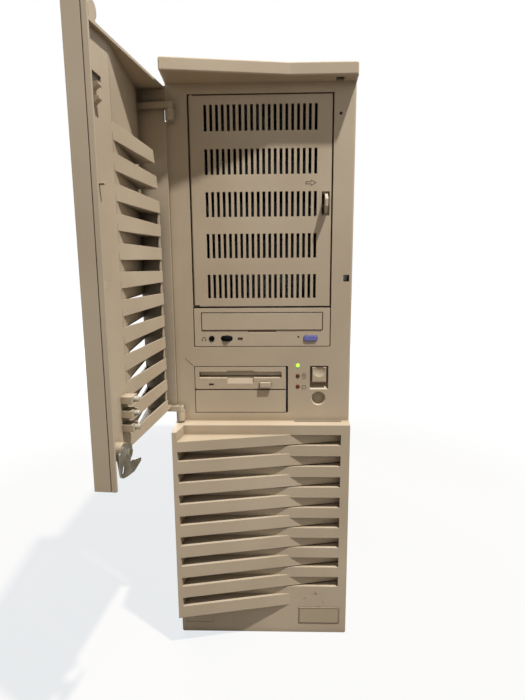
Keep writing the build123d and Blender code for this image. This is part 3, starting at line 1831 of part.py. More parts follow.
def slot_heights():
    return [slot_first_z + slot_pitch * k for k in range(slot_count)]


def make_board_tray():
    y0 = board_front_y - board_tray_margin
    x0 = board_tray_x
    tray = block(x0, x0 + sheet, y0, panel_back_y, frame_floor_z, board_top_z + board_tray_margin)
    foot_y = y0 + board_tray_foot_length
    return tray + block(x0 - board_tray_foot, x0, y0, foot_y, frame_floor_z, frame_floor_z + sheet)


def board_rear_y():
    return panel_back_y - board_edge_gap


def make_board_standoffs():
    low_z = board_bottom_z + standoff_inset
    high_z = board_top_z - standoff_inset
    standoffs = []
    for y in (board_front_y + standoff_inset, board_rear_y() - standoff_inset):
        for z in (low_z, (low_z + high_z) / 2, high_z):
            standoffs.append(rod_x(standoff_radius, y, z, board_tray_x - board_gap, board_tray_x))
    return Compound(children=standoffs)


def make_system_board():
    x0 = board_front_x()
    board = block(x0, x0 + board_thickness, board_front_y, board_rear_y(), board_bottom_z, board_top_z)
    y1 = board_rear_y() - socket_inset
    half = socket_thickness / 2
    sockets = []
    for z in slot_heights():
        sockets.append(block(x0 - socket_height, x0, y1 - socket_length, y1, z - half, z + half))
    return board + sockets


def make_processor_heatsink():
    x1 = board_front_x()
    y0 = board_front_y + heatsink_set_back
    z0 = board_top_z - heatsink_size - heatsink_drop
    sink = block(x1 - heatsink_height, x1, y0, y0 + heatsink_size, z0, z0 + heatsink_size)
    pitch = heatsink_size / heatsink_fins
    gaps = []
    for k in range(heatsink_fins - 1):
        z = z0 + pitch * (k + 1)
        half = pitch * 0.3
        top_x = x1 - heatsink_height - 1
        gaps.append(block(top_x, x1 - heatsink_base, y0 - 1, y0 + heatsink_size + 1, z - half, z + half))
    return sink - gaps


def make_memory_modules():
    x1 = board_front_x()
    y0 = board_front_y + heatsink_set_back + heatsink_size + memory_gap
    half = memory_thickness / 2
    modules = []
    for k in range(memory_count):
        z = board_top_z - memory_drop - memory_pitch * k
        modules.append(block(x1 - memory_height, x1, y0, y0 + memory_length, z - half, z + half))
    return Compound(children=modules)


def make_expansion_cards():
    x1 = board_front_x() - socket_height
    y1 = panel_back_y - sheet
    chip_x = x1 - card_height / 2
    chip_y = y1 - chip_set_back
    cards = []
    for z in slot_heights()[:card_count]:
        top_z = z + board_thickness
        card = block(x1 - card_height, x1, y1 - card_length, y1, z, top_z)
        chip = block(chip_x, chip_x + chip_size, chip_y - chip_size, chip_y, top_z, top_z + chip_thickness)
        cards.append(card + chip)
    return Compound(children=cards)


def make_slot_brackets():
    x1 = board_front_x() - 1
    half = bracket_width / 2
    brackets = []
    for z in slot_heights():
        y0 = panel_back_y - sheet
        brackets.append(block(x1 - bracket_length, x1, y0, panel_back_y, z - half, z + half))
    return Compound(children=brackets)


def port_solids(grow):
    """Connectors on the rear edge of the system board, from the lowest up."""
    x1 = board_front_x() + grow
    x0 = board_front_x() - port_height - grow
    y0 = board_rear_y() - port_depth
    y1 = rear_y + port_proud
    z = port_first_z
    ports = []
    for length in (serial_length, serial_length, parallel_length):
        ports.append(block(x0, x1, y0, y1, z - grow, z + length + grow))
        z += length + port_gap
    mid_x = board_front_x() - port_height / 2
    for k in range(round_port_count):
        ports.append(rod_y(round_port_radius + grow, mid_x, z + round_port_radius, y0, y1))
        z += 2 * round_port_radius + round_port_gap
    return ports


def make_rear_ports():
    return Compound(children=port_solids(0))


def screw_places():
    places = []
    for side in (-1, 1):
        for k in range(screws_per_side):
            share = (k + 0.5) / screws_per_side
            z = plinth_height + screw_margin + (frame_top_z - plinth_height - 2 * screw_margin) * share
            places.append((side * (frame_half - screw_inset), z))
    return places


def make_cover_screws():
    screws = []
    for x, z in screw_places():
        head = rod_y(screw_head_radius, x, z, rear_y, rear_y + screw_head_height)
        head = fillet(head.edges().sort_by(Axis.Y)[-1], 0.8)
        shank = rod_y(screw_shank_radius, x, z, rear_y - screw_shank_length, rear_y)
        slot = Box(1.5 * screw_head_radius, 2 * screw_slot_depth, screw_slot_width)
        slot = Pos(x, rear_y + screw_head_height, z) * slot
        screws.append(head + shank - slot)
    return Compound(children=screws)


parts = {
    "base_plinth": make_base_plinth(),
    "chassis_frame": make_chassis_frame(),
    "rear_panel": make_rear_panel(),
    "left_side_cover": make_side_cover(-1),
    "right_side_cover": make_side_cover(1),
    "top_cover": make_top_cover(),
    "upper_bezel": make_upper_bezel(),
    "lower_bezel": make_lower_bezel(),
    "front_plate": make_front_plate(),
    "door_shell": make_door_shell(),
    "door_hinge_pins": make_door_hinge_pins(),
    "door_light_pipes": make_door_light_pipes(),
    "lock_barrel": make_lock_barrel(),
    "lock_plug": make_lock_plug(),
    "lock_cam": make_lock_cam(),
    "lock_nut": make_lock_nut(),
    "bay_door": make_bay_door(),
    "bay_door_pins": make_bay_door_pins(),
    "bay_latch": make_bay_latch(),
    "cd_bezel": make_cd_bezel(),
    "cd_chassis": make_cd_chassis(),
    "cd_tray": make_cd_tray(),
    "cd_eject_button": make_cd_eject_button(),
    "cd_volume_wheel": make_cd_volume_wheel(),
    "headphone_jack": make_headphone_jack(),
    "cd_lamp": make_cd_lamp(),
    "floppy_bezel": make_floppy_bezel(),
    "floppy_chassis": make_floppy_chassis(),
    "floppy_flap": make_floppy_flap(),
    "floppy_eject_button": make_floppy_eject_button(),
    "floppy_lamp": make_floppy_lamp(),
    "floppy_cage": make_floppy_cage(),
    "blank_bezel": make_blank_bezel(),
    "power_button": make_power_button(),
    "power_switch": make_power_switch(),
    "indicator_board": make_indicator_board(),
    "power_lamp": lamp(lamp_heights[0]),
    "status_lamps": make_status_lamps(),
    "drive_cage": make_drive_cage(),
    "drive_carriers": make_drive_carriers(),
    "hard_drives": make_hard_drives(),
    "power_supply": make_power_supply(),
    "fan_frame": make_fan_frame(),
    "fan_rotor": make_fan_rotor(),
    "fan_guard": make_fan_guard(),
    "mains_inlet": make_mains_inlet(),
    "board_tray": make_board_tray(),
    "board_standoffs": make_board_standoffs(),
    "system_board": make_system_board(),
    "processor_heatsink": make_processor_heatsink(),
    "memory_modules": make_memory_modules(),
    "expansion_cards": make_expansion_cards(),
    "slot_brackets": make_slot_brackets(),
    "rear_ports": make_rear_ports(),
    "cover_screws": make_cover_screws(),
}

os.makedirs("parts", exist_ok=True)
for name, solid in parts.items():
    export_step(solid, f"parts/{name}.step")
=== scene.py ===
import json
import math

import bmesh
import bpy
from mathutils import Matrix, Vector


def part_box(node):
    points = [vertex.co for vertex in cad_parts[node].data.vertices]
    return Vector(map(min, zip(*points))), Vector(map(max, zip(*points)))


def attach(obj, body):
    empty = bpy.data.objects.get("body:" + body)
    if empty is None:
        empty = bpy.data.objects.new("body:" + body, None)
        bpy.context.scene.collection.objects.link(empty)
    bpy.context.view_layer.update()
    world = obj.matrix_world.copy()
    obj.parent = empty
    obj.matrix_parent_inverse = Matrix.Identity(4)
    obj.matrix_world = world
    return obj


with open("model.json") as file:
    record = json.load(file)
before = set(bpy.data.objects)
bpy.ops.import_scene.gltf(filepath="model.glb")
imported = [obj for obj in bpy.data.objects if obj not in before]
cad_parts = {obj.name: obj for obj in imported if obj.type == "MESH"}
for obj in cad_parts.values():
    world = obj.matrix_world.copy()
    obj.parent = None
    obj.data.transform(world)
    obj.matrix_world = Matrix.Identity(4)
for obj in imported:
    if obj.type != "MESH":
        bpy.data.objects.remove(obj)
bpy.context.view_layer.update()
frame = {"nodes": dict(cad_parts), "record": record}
scene = bpy.context.scene
scene.view_settings.view_transform = "Standard"

# Places taken from the model, in metres
FACE_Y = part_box("cd_bezel")[0].y
BAY_DOOR_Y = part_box("bay_door")[0].y

# Colours as they show in plain light, in sRGB from 0 to 255
BEIGE = (185, 168, 144)
# Darker beige for corners: dust and painted shade
BEIGE_DIRT_AND_SHADE = (130, 115, 92)
BEIGE_PALE = (198, 182, 158)
SMUDGE = (118, 104, 86)
SCUFF = (206, 194, 170)
# Painted shade for gaps and hollows
GAP_SHADE_TONE = (52, 44, 34)
# Painted shadow for the lines round gaps
LINE_SHADOW_BLACK = (22, 18, 15)
# Dark brown sheet in the door's catch hole: painted shade
HOLE_SHADE_BROWN = (78, 66, 54)
HOLE_SHADE_BROWN_PALE = (90, 78, 64)
DRIVE_BEIGE = (190, 173, 149)
# The diskette flap's beige, made paler as painted light in its shaded slot
FLAP_PAINTED_LIGHT = (232, 218, 194)
FLAP_PAINTED_LIGHT_PALE = (238, 226, 204)
COVER_BEIGE = (170, 154, 130)
COVER_PALE = (182, 166, 142)
PLATE_BEIGE = (176, 160, 132)
STEEL = (172, 172, 168)
STEEL_DARK = (156, 156, 153)
ZINC = (188, 189, 179)
ZINC_DARK = (118, 116, 106)
BRASS = (176, 140, 78)
BRASS_DARK = (128, 98, 52)
ALUMINIUM = (172, 173, 174)
ALUMINIUM_DARK = (128, 129, 130)
# Dark castings of the hard drives; the same colour is painted shade on the steel drive chassis
CASTING_AND_SHADE = (58, 59, 62)
CASTING_AND_SHADE_DARK = (38, 38, 40)
BLACK = (22, 22, 23)
BLACK_DUST = (58, 55, 50)
CONTROL_BLACK = (6, 6, 7)
CONTROL_DUST = (14, 13, 13)
VIOLET = (104, 104, 168)
VIOLET_DUST = (104, 102, 146)
LIT_GREEN = (190, 255, 90)
LIT_GREEN_DEEP = (120, 225, 40)
SMOKED = (26, 23, 24)
SMOKED_DEEP = (14, 13, 13)
ORANGE_RED = (140, 52, 18)
ORANGE_RED_DEEP = (52, 17, 10)
RED_BROWN = (66, 30, 26)
RED_BROWN_DEEP = (38, 18, 17)
PIPE_PALE = (226, 222, 208)
PIPE_CLOUDY = (196, 190, 172)
BOARD_GREEN = (38, 84, 52)
TRACE_GREEN = (74, 122, 76)
INK = (96, 84, 64)
INK_WORN = (124, 110, 86)

# Shader settings that several looks share
MIDDLE_BAND = (0.3, 0.7)
TONE_BAND = (0.35, 0.7)
OCCLUSION_SAMPLES = 6
BEVEL_SAMPLES = 4
PLAIN_GLOSS = 0.35
LINE_CORE = 0.6
LINE_FADE_START, LINE_FADE_END = 0.001, 0.003
PATCH_CORE = 0.4


def linear(color):
    """Linear values of an sRGB colour."""
    values = []
    for part in color:
        c = part / 255
        values.append(c / 12.92 if c <= 0.04045 else ((c + 0.055) / 1.055) ** 2.4)
    return (*values, 1.0)


class Nodes:
    """Short forms for building one node material."""

    def __init__(self, name):
        self.material = bpy.data.materials.new(name)
        self.material.use_nodes = True
        self.tree = self.material.node_tree
        self.tree.nodes.clear()
        self.output = self.tree.nodes.new("ShaderNodeOutputMaterial")
        self.shader = self.tree.nodes.new("ShaderNodeBsdfPrincipled")
        self.join(self.shader.outputs[0], self.output.inputs["Surface"])
        self.place = self.tree.nodes.new("ShaderNodeTexCoord").outputs["Object"]

    def new(self, kind, **settings):
        node = self.tree.nodes.new(kind)
        for key, value in settings.items():
            setattr(node, key, value)
        return node

    def join(self, source, target):
        self.tree.links.new(source, target)

    def color(self, source):
        self.join(source, self.shader.inputs["Base Color"])

    def roughness(self, source, low_value, high_value):
        """Roughness that follows a noise between two values."""
        self.join(self.ramp(source, *MIDDLE_BAND, low_value, high_value), self.shader.inputs["Roughness"])

    def noise(self, scale, detail=3.0, stretch=(1, 1, 1)):
        mapping = self.new("ShaderNodeMapping")
        mapping.inputs["Scale"].default_value = stretch
        self.join(self.place, mapping.inputs["Vector"])
        noise = self.new("ShaderNodeTexNoise")
        noise.inputs["Scale"].default_value = scale
        noise.inputs["Detail"].default_value = detail
        self.join(mapping.outputs[0], noise.inputs["Vector"])
        return noise.outputs["Fac"]

    def ramp(self, source, low, high, low_value=0.0, high_value=1.0):
        """Map low..high of a source to two grey levels."""
        node = self.new("ShaderNodeMapRange")
        node.inputs["From Min"].default_value = low
        node.inputs["From Max"].default_value = high
        node.inputs["To Min"].default_value = low_value
        node.inputs["To Max"].default_value = high_value
        self.join(source, node.inputs["Value"])
        return node.outputs["Result"]

    def blend(self, amount, first, second):
        """Mix two colours, each a tuple or the output of a node."""
        node = self.new("ShaderNodeMix", data_type="RGBA")
        self.join(amount, node.inputs["Factor"])
        for value, socket in ((first, node.inputs[6]), (second, node.inputs[7])):
            if isinstance(value, tuple):
                socket.default_value = value
            else:
                self.join(value, socket)
        return node.outputs[2]

    def crevice(self, distance, closed=0.45, open_face=1.0):
        """High in corners and gaps, low on open faces."""
        node = self.new("ShaderNodeAmbientOcclusion", samples=OCCLUSION_SAMPLES)
        node.inputs["Distance"].default_value = distance
        return self.ramp(node.outputs["AO"], closed, open_face, 1.0, 0.0)

    def math(self, operation, first, second=None):
        node = self.new("ShaderNodeMath", operation=operation)
        for value, socket in ((first, node.inputs[0]), (second, node.inputs[1])):
            if isinstance(value, float):
                socket.default_value = value
            elif value is not None:
                self.join(value, socket)
        return node.outputs[0]

    def gap_line(self, low, high, width):
        """High in a line round a box let into the front face, and on the walls just behind that line."""
        split = self.new("ShaderNodeSeparateXYZ")
        self.join(self.place, split.inputs[0])
        reach = []
        for axis, a, b in (("X", low.x, high.x), ("Z", low.z, high.z)):
            offset = self.math("SUBTRACT", split.outputs[axis], (a + b) / 2)
            reach.append(self.math("SUBTRACT", self.math("ABSOLUTE", offset), (b - a) / 2))
        outside = self.math("MAXIMUM", reach[0], reach[1])
        line = self.ramp(outside, width * LINE_CORE, width, 1.0, 0.0)
        near = self.ramp(split.outputs["Y"], FACE_Y + LINE_FADE_START, FACE_Y + LINE_FADE_END, 1.0, 0.0)
        return self.math("MULTIPLY", line, near)

    def patch(self, centre, radius):
        """High near a point and nought outside a radius round it."""
        node = self.new("ShaderNodeVectorMath", operation="DISTANCE")
        self.join(self.place, node.inputs[0])
        node.inputs[1].default_value = centre
        return self.ramp(node.outputs["Value"], radius * PATCH_CORE, radius, 1.0, 0.0)

    def rounded(self, radius):
        """Normals that round off the edges."""
        node = self.new("ShaderNodeBevel", samples=BEVEL_SAMPLES)
        node.inputs["Radius"].default_value = radius
        return node.outputs["Normal"]

    def bump(self, height, strength, distance, normal=None):
        node = self.new("ShaderNodeBump")
        node.inputs["Strength"].default_value = strength
        node.inputs["Distance"].default_value = distance
        self.join(height, node.inputs["Height"])
        if normal is not None:
            self.join(normal, node.inputs["Normal"])
        self.join(node.outputs[0], self.shader.inputs["Normal"])

    def set(self, **values):
        for key, value in values.items():
            self.shader.inputs[key.replace("_", " ")].default_value = value


def moulded_plastic(
    name, color, dirt_and_shade, pale, roughness=0.5, edge=0.0006, gap=0.002, gap_open=0.4, lines=(), marks=()
):
    """Textured case plastic: fine grain, uneven yellowing, dust and painted shade in corners, painted shade
    in gaps, faint scuffs.

    Each line is a node whose gap gets painted shadow round it and on its walls, with the line's width. Each
    mark is the centre and radius of a patch of flecks, with the scale and stretch of their noise and their
    colour.
    """
    n = Nodes(name)
    tone = n.ramp(n.noise(9.0, detail=4.0), *TONE_BAND)
    base = n.blend(tone, linear(color), linear(pale))
    scuffs = n.ramp(n.noise(60.0, detail=6.0, stretch=(1.0, 1.0, 0.18)), 0.66, 0.78, high_value=0.25)
    base = n.blend(scuffs, base, linear(pale))
    # Darker in corners where the occlusion is high: dust and painted shade
    soil_and_shade = n.crevice(0.008)
    base = n.blend(n.ramp(soil_and_shade, 0.0, 1.0, high_value=0.45), base, linear(dirt_and_shade))
    # Painted shade in gaps and hollows, from the occlusion within the gap distance
    gap_shade = n.crevice(gap, closed=0.12, open_face=gap_open)
    base = n.blend(n.ramp(gap_shade, 0.0, 1.0, high_value=0.85), base, linear(GAP_SHADE_TONE))
    for centre, radius, scale, stretch, tint in marks:
        flecks = n.ramp(n.noise(scale, detail=5.0, stretch=stretch), 0.58, 0.68, high_value=0.6)
        base = n.blend(n.math("MULTIPLY", flecks, n.patch(centre, radius)), base, linear(tint))
    # Painted shadow: a dark line round each listed gap and on the gap walls behind it
    for node, width in lines:
        base = n.blend(n.gap_line(*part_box(node), width), base, linear(LINE_SHADOW_BLACK))
    n.color(base)
    n.roughness(n.noise(25.0), roughness - 0.06, roughness + 0.08)
    n.bump(n.noise(1800.0, detail=2.0), strength=0.16, distance=0.00025, normal=n.rounded(edge))
    n.set(Specular_IOR_Level=PLAIN_GLOSS)
    return n.material


def painted_sheet(name, color, dirt_and_shade, pale):
    """Powder coat on sheet steel: a soft orange-peel surface."""
    n = Nodes(name)
    base = n.blend(n.ramp(n.noise(5.0, detail=4.0), *TONE_BAND), linear(color), linear(pale))
    # Darker in corners where the occlusion is high: dust and painted shade
    n.color(n.blend(n.ramp(n.crevice(0.01), 0.0, 1.0, high_value=0.5), base, linear(dirt_and_shade)))
    n.roughness(n.noise(18.0), 0.4, 0.52)
    n.bump(n.noise(900.0, detail=2.0), strength=0.1, distance=0.0003, normal=n.rounded(0.0005))
    n.set(Specular_IOR_Level=PLAIN_GLOSS)
    return n.material


def plated_metal(name, color, dark, roughness=0.32):
    """Plated or cast metal, with streaks and a cloudy tone."""
    n = Nodes(name)
    cloud = n.ramp(n.noise(40.0, detail=5.0), *MIDDLE_BAND)
    n.color(n.blend(cloud, linear(color), linear(dark)))
    streaks = n.noise(160.0, stretch=(1.0, 1.0, 0.06))
    n.roughness(streaks, roughness - 0.1, roughness + 0.15)
    n.bump(streaks, strength=0.05, distance=0.0002, normal=n.rounded(0.0003))
    n.set(Metallic=0.92)
    return n.material


def plain_plastic(name, color, dust, roughness=0.48, gloss=0.5):
    """Small plastic parts and printed ink: one colour under patches of dust or wear."""
    n = Nodes(name)
    patches = n.ramp(n.noise(120.0, detail=5.0), 0.5, 0.75, high_value=0.45)
    n.color(n.blend(patches, linear(color), linear(dust)))
    n.roughness(n.noise(60.0), roughness - 0.1, roughness + 0.1)
    n.bump(n.noise(1500.0, detail=2.0), strength=0.12, distance=0.0002, normal=n.rounded(0.0003))
    n.set(Specular_IOR_Level=gloss)
    return n.material


def lens(name, color, deep, glow=0.0):
    """Tinted lamp lens with a mottled tone, lit from inside where it glows."""
    n = Nodes(name)
    mottle = n.ramp(n.noise(900.0, detail=2.0), *MIDDLE_BAND)
    tint = n.blend(mottle, linear(color), linear(deep))
    n.color(tint)
    n.join(tint, n.shader.inputs["Emission Color"])
    n.bump(n.noise(600.0, detail=1.0), strength=0.05, distance=0.0002)
    n.set(Emission_Strength=glow, Roughness=0.4, Specular_IOR_Level=0.25, Coat_Weight=0.1)
    return n.material


def clear_plastic(name):
    """Frosted light pipe: pale, cloudy and partly clear."""
    n = Nodes(name)
    cloud = n.ramp(n.noise(260.0), *MIDDLE_BAND)
    n.color(n.blend(cloud, linear(PIPE_PALE), linear(PIPE_CLOUDY)))
    n.bump(n.noise(500.0, detail=2.0), strength=0.06, distance=0.0002, normal=n.rounded(0.0003))
    n.set(Roughness=0.25, Transmission_Weight=0.35, IOR=1.49)
    return n.material


def circuit_board(name):
    """Green board with a net of paler traces."""
    n = Nodes(name)
    cells = n.new("ShaderNodeTexVoronoi", feature="DISTANCE_TO_EDGE")
    cells.inputs["Scale"].default_value = 220.0
    n.join(n.place, cells.inputs["Vector"])
    traces = n.ramp(cells.outputs["Distance"], 0.02, 0.06, 1.0, 0.0)
    n.color(n.blend(traces, linear(BOARD_GREEN), linear(TRACE_GREEN)))
    n.bump(cells.outputs["Distance"], strength=0.1, distance=0.0003)
    n.set(Roughness=0.35)
    return n.material


SMUDGES = [((0.057, FACE_Y - 0.0175, 0.043), 0.022, 190.0, (1.0, 1.0, 1.0), SMUDGE)]
SCUFFS = [((-0.1178, -0.2765, 0.569), 0.027, 240.0, (1.0, 1.0, 0.22), SCUFF)]
# Gaps that get painted shadow lines, with the lines' widths
BAY_SHADOW_LINES = [("bay_door", 0.0013), ("cd_bezel", 0.0009), ("floppy_bezel", 0.0009), ("blank_bezel", 0.0009)]
TRAY_SHADOW_LINES = [("cd_tray", 0.0011)]
CASE = (BEIGE, BEIGE_DIRT_AND_SHADE, BEIGE_PALE)
DRIVE = (DRIVE_BEIGE, BEIGE_DIRT_AND_SHADE, BEIGE_PALE)

beige = moulded_plastic("beige_case", *CASE)
louvre_beige = moulded_plastic("beige_louvre", *CASE, edge=0.0009, marks=SMUDGES)
# On the door the gap shading reaches 4 cm: painted shade over the inside of its slats and walls
door_beige = moulded_plastic("beige_door", *CASE, gap=0.04, gap_open=0.52, marks=SCUFFS)
panel_beige = moulded_plastic("beige_panel", *CASE, lines=BAY_SHADOW_LINES)
cd_beige = moulded_plastic("beige_cd", *DRIVE, roughness=0.42, edge=0.0004, lines=TRAY_SHADOW_LINES)
# Dark brown for the sheet in the door's catch hole: painted shade
shade_brown = moulded_plastic("shade_sheet_brown", HOLE_SHADE_BROWN, GAP_SHADE_TONE, HOLE_SHADE_BROWN_PALE)
# The flap is the drive beige painted paler: painted light in its shaded recess
flap_lit_beige = moulded_plastic("beige_flap_painted_light", FLAP_PAINTED_LIGHT, BEIGE, FLAP_PAINTED_LIGHT_PALE, roughness=0.42, edge=0.0003)
drive_beige = moulded_plastic("beige_drive", *DRIVE, roughness=0.42, edge=0.0004)
plate = moulded_plastic("beige_plate", PLATE_BEIGE, BEIGE_DIRT_AND_SHADE, BEIGE, roughness=0.4, edge=0.0003)
cover_paint = painted_sheet("beige_cover", COVER_BEIGE, BEIGE_DIRT_AND_SHADE, COVER_PALE)
steel = plated_metal("plated_steel", STEEL, STEEL_DARK)
zinc = plated_metal("lock_zinc", ZINC, ZINC_DARK, roughness=0.3)
brass = plated_metal("lock_brass", BRASS, BRASS_DARK, roughness=0.3)
aluminium = plated_metal("cast_aluminium", ALUMINIUM, ALUMINIUM_DARK, roughness=0.4)
dark_casting_and_shade = plated_metal("dark_casting_and_shade", CASTING_AND_SHADE, CASTING_AND_SHADE_DARK, roughness=0.5)
black = plain_plastic("black_plastic", BLACK, BLACK_DUST)
deep_black = plain_plastic("black_control", CONTROL_BLACK, CONTROL_DUST, roughness=0.7, gloss=0.12)
violet = plain_plastic("violet_button", VIOLET, VIOLET_DUST, roughness=0.36)
green_lens = lens("green_lens", LIT_GREEN, LIT_GREEN_DEEP, glow=1.5)
dark_lens = lens("dark_lens", SMOKED, SMOKED_DEEP)
red_lens = lens("orange_red_lens", ORANGE_RED, ORANGE_RED_DEEP)
brown_lens = lens("brown_lens", RED_BROWN, RED_BROWN_DEEP)
clear = clear_plastic("light_pipe")
board = circuit_board("circuit_board")
ink = plain_plastic("printed_ink", INK, INK_WORN, roughness=0.6)

looks = {
    panel_beige: ["upper_bezel"],
    cd_beige: ["cd_bezel"],
    louvre_beige: ["lower_bezel"],
    beige: ["bay_door", "bay_latch", "base_plinth", "power_button"],
    door_beige: ["door_shell"],
    flap_lit_beige: ["floppy_flap"],
    drive_beige: ["cd_tray", "floppy_bezel", "blank_bezel", "floppy_eject_button"],
    plate: ["front_plate"],
    cover_paint: ["left_side_cover", "right_side_cover", "top_cover"],
    steel: [
        "chassis_frame",
        "rear_panel",
        "drive_cage",
        "floppy_cage",
        "power_supply",
        "board_tray",
        "slot_brackets",
        "cover_screws",
        "fan_guard",
        "door_hinge_pins",
        "bay_door_pins",
        "board_standoffs",
    ],
    zinc: ["lock_barrel", "lock_cam", "lock_nut"],
    brass: ["lock_plug"],
    clear: ["door_light_pipes"],
    deep_black: ["cd_volume_wheel", "headphone_jack"],
    black: [
        "rear_ports",
        "fan_frame",
        "fan_rotor",
        "mains_inlet",
        "power_switch",
        "drive_carriers",
    ],
    violet: ["cd_eject_button"],
    green_lens: ["power_lamp"],
    dark_lens: ["floppy_lamp"],
    red_lens: ["status_lamps"],
    brown_lens: ["cd_lamp"],
    board: ["system_board", "expansion_cards", "memory_modules", "indicator_board"],
    aluminium: ["processor_heatsink"],
    # The hard drives have dark castings; the steel drive chassis take the same colour as painted shade
    # inside the bays
    dark_casting_and_shade: ["hard_drives", "cd_chassis", "floppy_chassis"],
}
for material, names in looks.items():
    for name in names:
        mesh = frame["nodes"][name].data
        mesh.materials.clear()
        mesh.materials.append(material)


def slabs(name, ring_pairs, material, body):
    """One piece of thin slabs, each between two rings of matching points in metres."""
    bm = bmesh.new()
    for first, second in ring_pairs:
        front = [bm.verts.new(point) for point in first]
        back = [bm.verts.new(point) for point in second]
        bm.faces.new(front)
        bm.faces.new(list(reversed(back)))
        count = len(front)
        for i in range(count):
            j = (i + 1) % count
            bm.faces.new((front[i], back[i], back[j], front[j]))
    bmesh.ops.recalc_face_normals(bm, faces=bm.faces)
    mesh = bpy.data.meshes.new(name)
    bm.to_mesh(mesh)
    bm.free()
    mesh.materials.append(material)
    piece = bpy.data.objects.new(name, mesh)
    scene.collection.objects.link(piece)
    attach(piece, body)


# Printed signs: thin raised ink on the panel faces
PRINT_THICKNESS = 0.00012


def printed(name, outlines, y, body):
    """Ink shapes on a face that looks towards -Y. Each outline is a ring of (x, z) points in metres."""
    pairs = []
    for ring in outlines:
        pairs.append(([(x, y - PRINT_THICKNESS, z) for x, z in ring], [(x, y, z) for x, z in ring]))
    slabs(name, pairs, ink, body)


def bar(x0, z0, x1, z1, width):
    """Straight stroke between two points."""
    along = Vector((x1 - x0, z1 - z0)).normalized()
    side = Vector((-along.y, along.x)) * width / 2
    a = Vector((x0, z0))
    b = Vector((x1, z1))
    return [tuple(a + side), tuple(a - side), tuple(b - side), tuple(b + side)]


def uprights(cx, half, z0, z1, width):
    """Two upright strokes, one on each side of a middle."""
    return [bar(x, z0, x, z1, width) for x in (cx - half, cx + half)]


def arc(cx, cz, radius, start, end, width, steps=14):
    """Curved stroke as one ring of points, between two angles in degrees."""
    outer = []
    inner = []
    for k in range(steps + 1):
        angle = math.radians(start + (end - start) * k / steps)
        for points, reach in ((outer, radius + width / 2), (inner, radius - width / 2)):
            points.append((cx + reach * math.cos(angle), cz + reach * math.sin(angle)))
    return outer + inner[::-1]


def outline(points, width):
    """Closed line through points, as one stroke for each side."""
    sides = zip(points, points[1:] + points[:1])
    return [bar(x0, z0, x1, z1, width) for (x0, z0), (x1, z1) in sides]


STROKE = 0.0006
FINE_STROKE = 0.0005
ARROW_X, ARROW_Z, ARROW_SHAFT, ARROW_LENGTH = 0.047, 0.5136, 0.0055, 0.0105
ARROW_HALF, ARROW_HEAD_HALF = 0.0011, 0.0028
arrow_upper = [
    (ARROW_X, ARROW_Z + ARROW_HALF),
    (ARROW_X + ARROW_SHAFT, ARROW_Z + ARROW_HALF),
    (ARROW_X + ARROW_SHAFT, ARROW_Z + ARROW_HEAD_HALF),
]
arrow_lower = [(x, 2 * ARROW_Z - z) for x, z in reversed(arrow_upper)]
arrow_points = arrow_upper + [(ARROW_X + ARROW_LENGTH, ARROW_Z)] + arrow_lower
printed("open_arrow", outline(arrow_points, STROKE), BAY_DOOR_Y, "bay_door")

PHONES_X, PHONES_Z, PHONES_RADIUS = -0.0641, 0.3493, 0.0019
EARCUP_LENGTH, EARCUP_WIDTH = 0.0024, 0.0011
printed(
    "headphone_sign",
    [
        arc(PHONES_X, PHONES_Z, PHONES_RADIUS, 0, 180, STROKE),
        *uprights(PHONES_X, PHONES_RADIUS, PHONES_Z, PHONES_Z - EARCUP_LENGTH, EARCUP_WIDTH),
    ],
    FACE_Y,
    "tower",
)

# A drum for the drives beside one lamp and a square for the status beside the other
LAMP_SIGN_X = 0.0466
DRUM_RADIUS, DRUM_TOP_Z, DRUM_FOOT_Z = 0.0016, 0.3088, 0.3056
DRUM_TOP_END, DRUM_TOP_STEPS = 359, 24
SQUARE_HALF, SQUARE_FOOT_Z, SQUARE_TOP_Z = 0.002, 0.2925, 0.2962
square_left, square_right = LAMP_SIGN_X - SQUARE_HALF, LAMP_SIGN_X + SQUARE_HALF
printed(
    "drive_lamp_sign",
    [
        arc(LAMP_SIGN_X, DRUM_TOP_Z, DRUM_RADIUS, 0, DRUM_TOP_END, FINE_STROKE, DRUM_TOP_STEPS),
        *uprights(LAMP_SIGN_X, DRUM_RADIUS, DRUM_TOP_Z, DRUM_FOOT_Z, FINE_STROKE),
        arc(LAMP_SIGN_X, DRUM_FOOT_Z, DRUM_RADIUS, 180, 360, FINE_STROKE),
    ],
    FACE_Y,
    "tower",
)
printed(
    "status_lamp_sign",
    [
        bar(square_left, SQUARE_FOOT_Z, square_right, SQUARE_FOOT_Z, FINE_STROKE),
        bar(square_left, SQUARE_TOP_Z, square_right, SQUARE_TOP_Z, FINE_STROKE),
        *uprights(LAMP_SIGN_X, SQUARE_HALF, SQUARE_FOOT_Z, SQUARE_TOP_Z, FINE_STROKE),
    ],
    FACE_Y,
    "tower",
)

# A border on the front plate, and a scratch that runs to the corner of the diskette drive
plate_low, plate_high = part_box("front_plate")
PLATE_EDGE = 0.0009
plate_corners = [
    (plate_low.x + PLATE_EDGE, plate_low.z + PLATE_EDGE),
    (plate_high.x - PLATE_EDGE, plate_low.z + PLATE_EDGE),
    (plate_high.x - PLATE_EDGE, plate_high.z - PLATE_EDGE),
    (plate_low.x + PLATE_EDGE, plate_high.z - PLATE_EDGE),
]
printed("plate_border", outline(plate_corners, FINE_STROKE), plate_low.y, "tower")
floppy_low, floppy_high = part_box("floppy_bezel")
SCRATCH_WIDTH = 0.0003
SCRATCH_START, SCRATCH_END = (0.0109, 0.0102), (0.0012, 0.001)
scratch = [(floppy_low.x - left, floppy_high.z + up) for left, up in (SCRATCH_START, SCRATCH_END)]
printed("panel_scratch", [bar(*scratch[0], *scratch[1], SCRATCH_WIDTH)], FACE_Y, "tower")


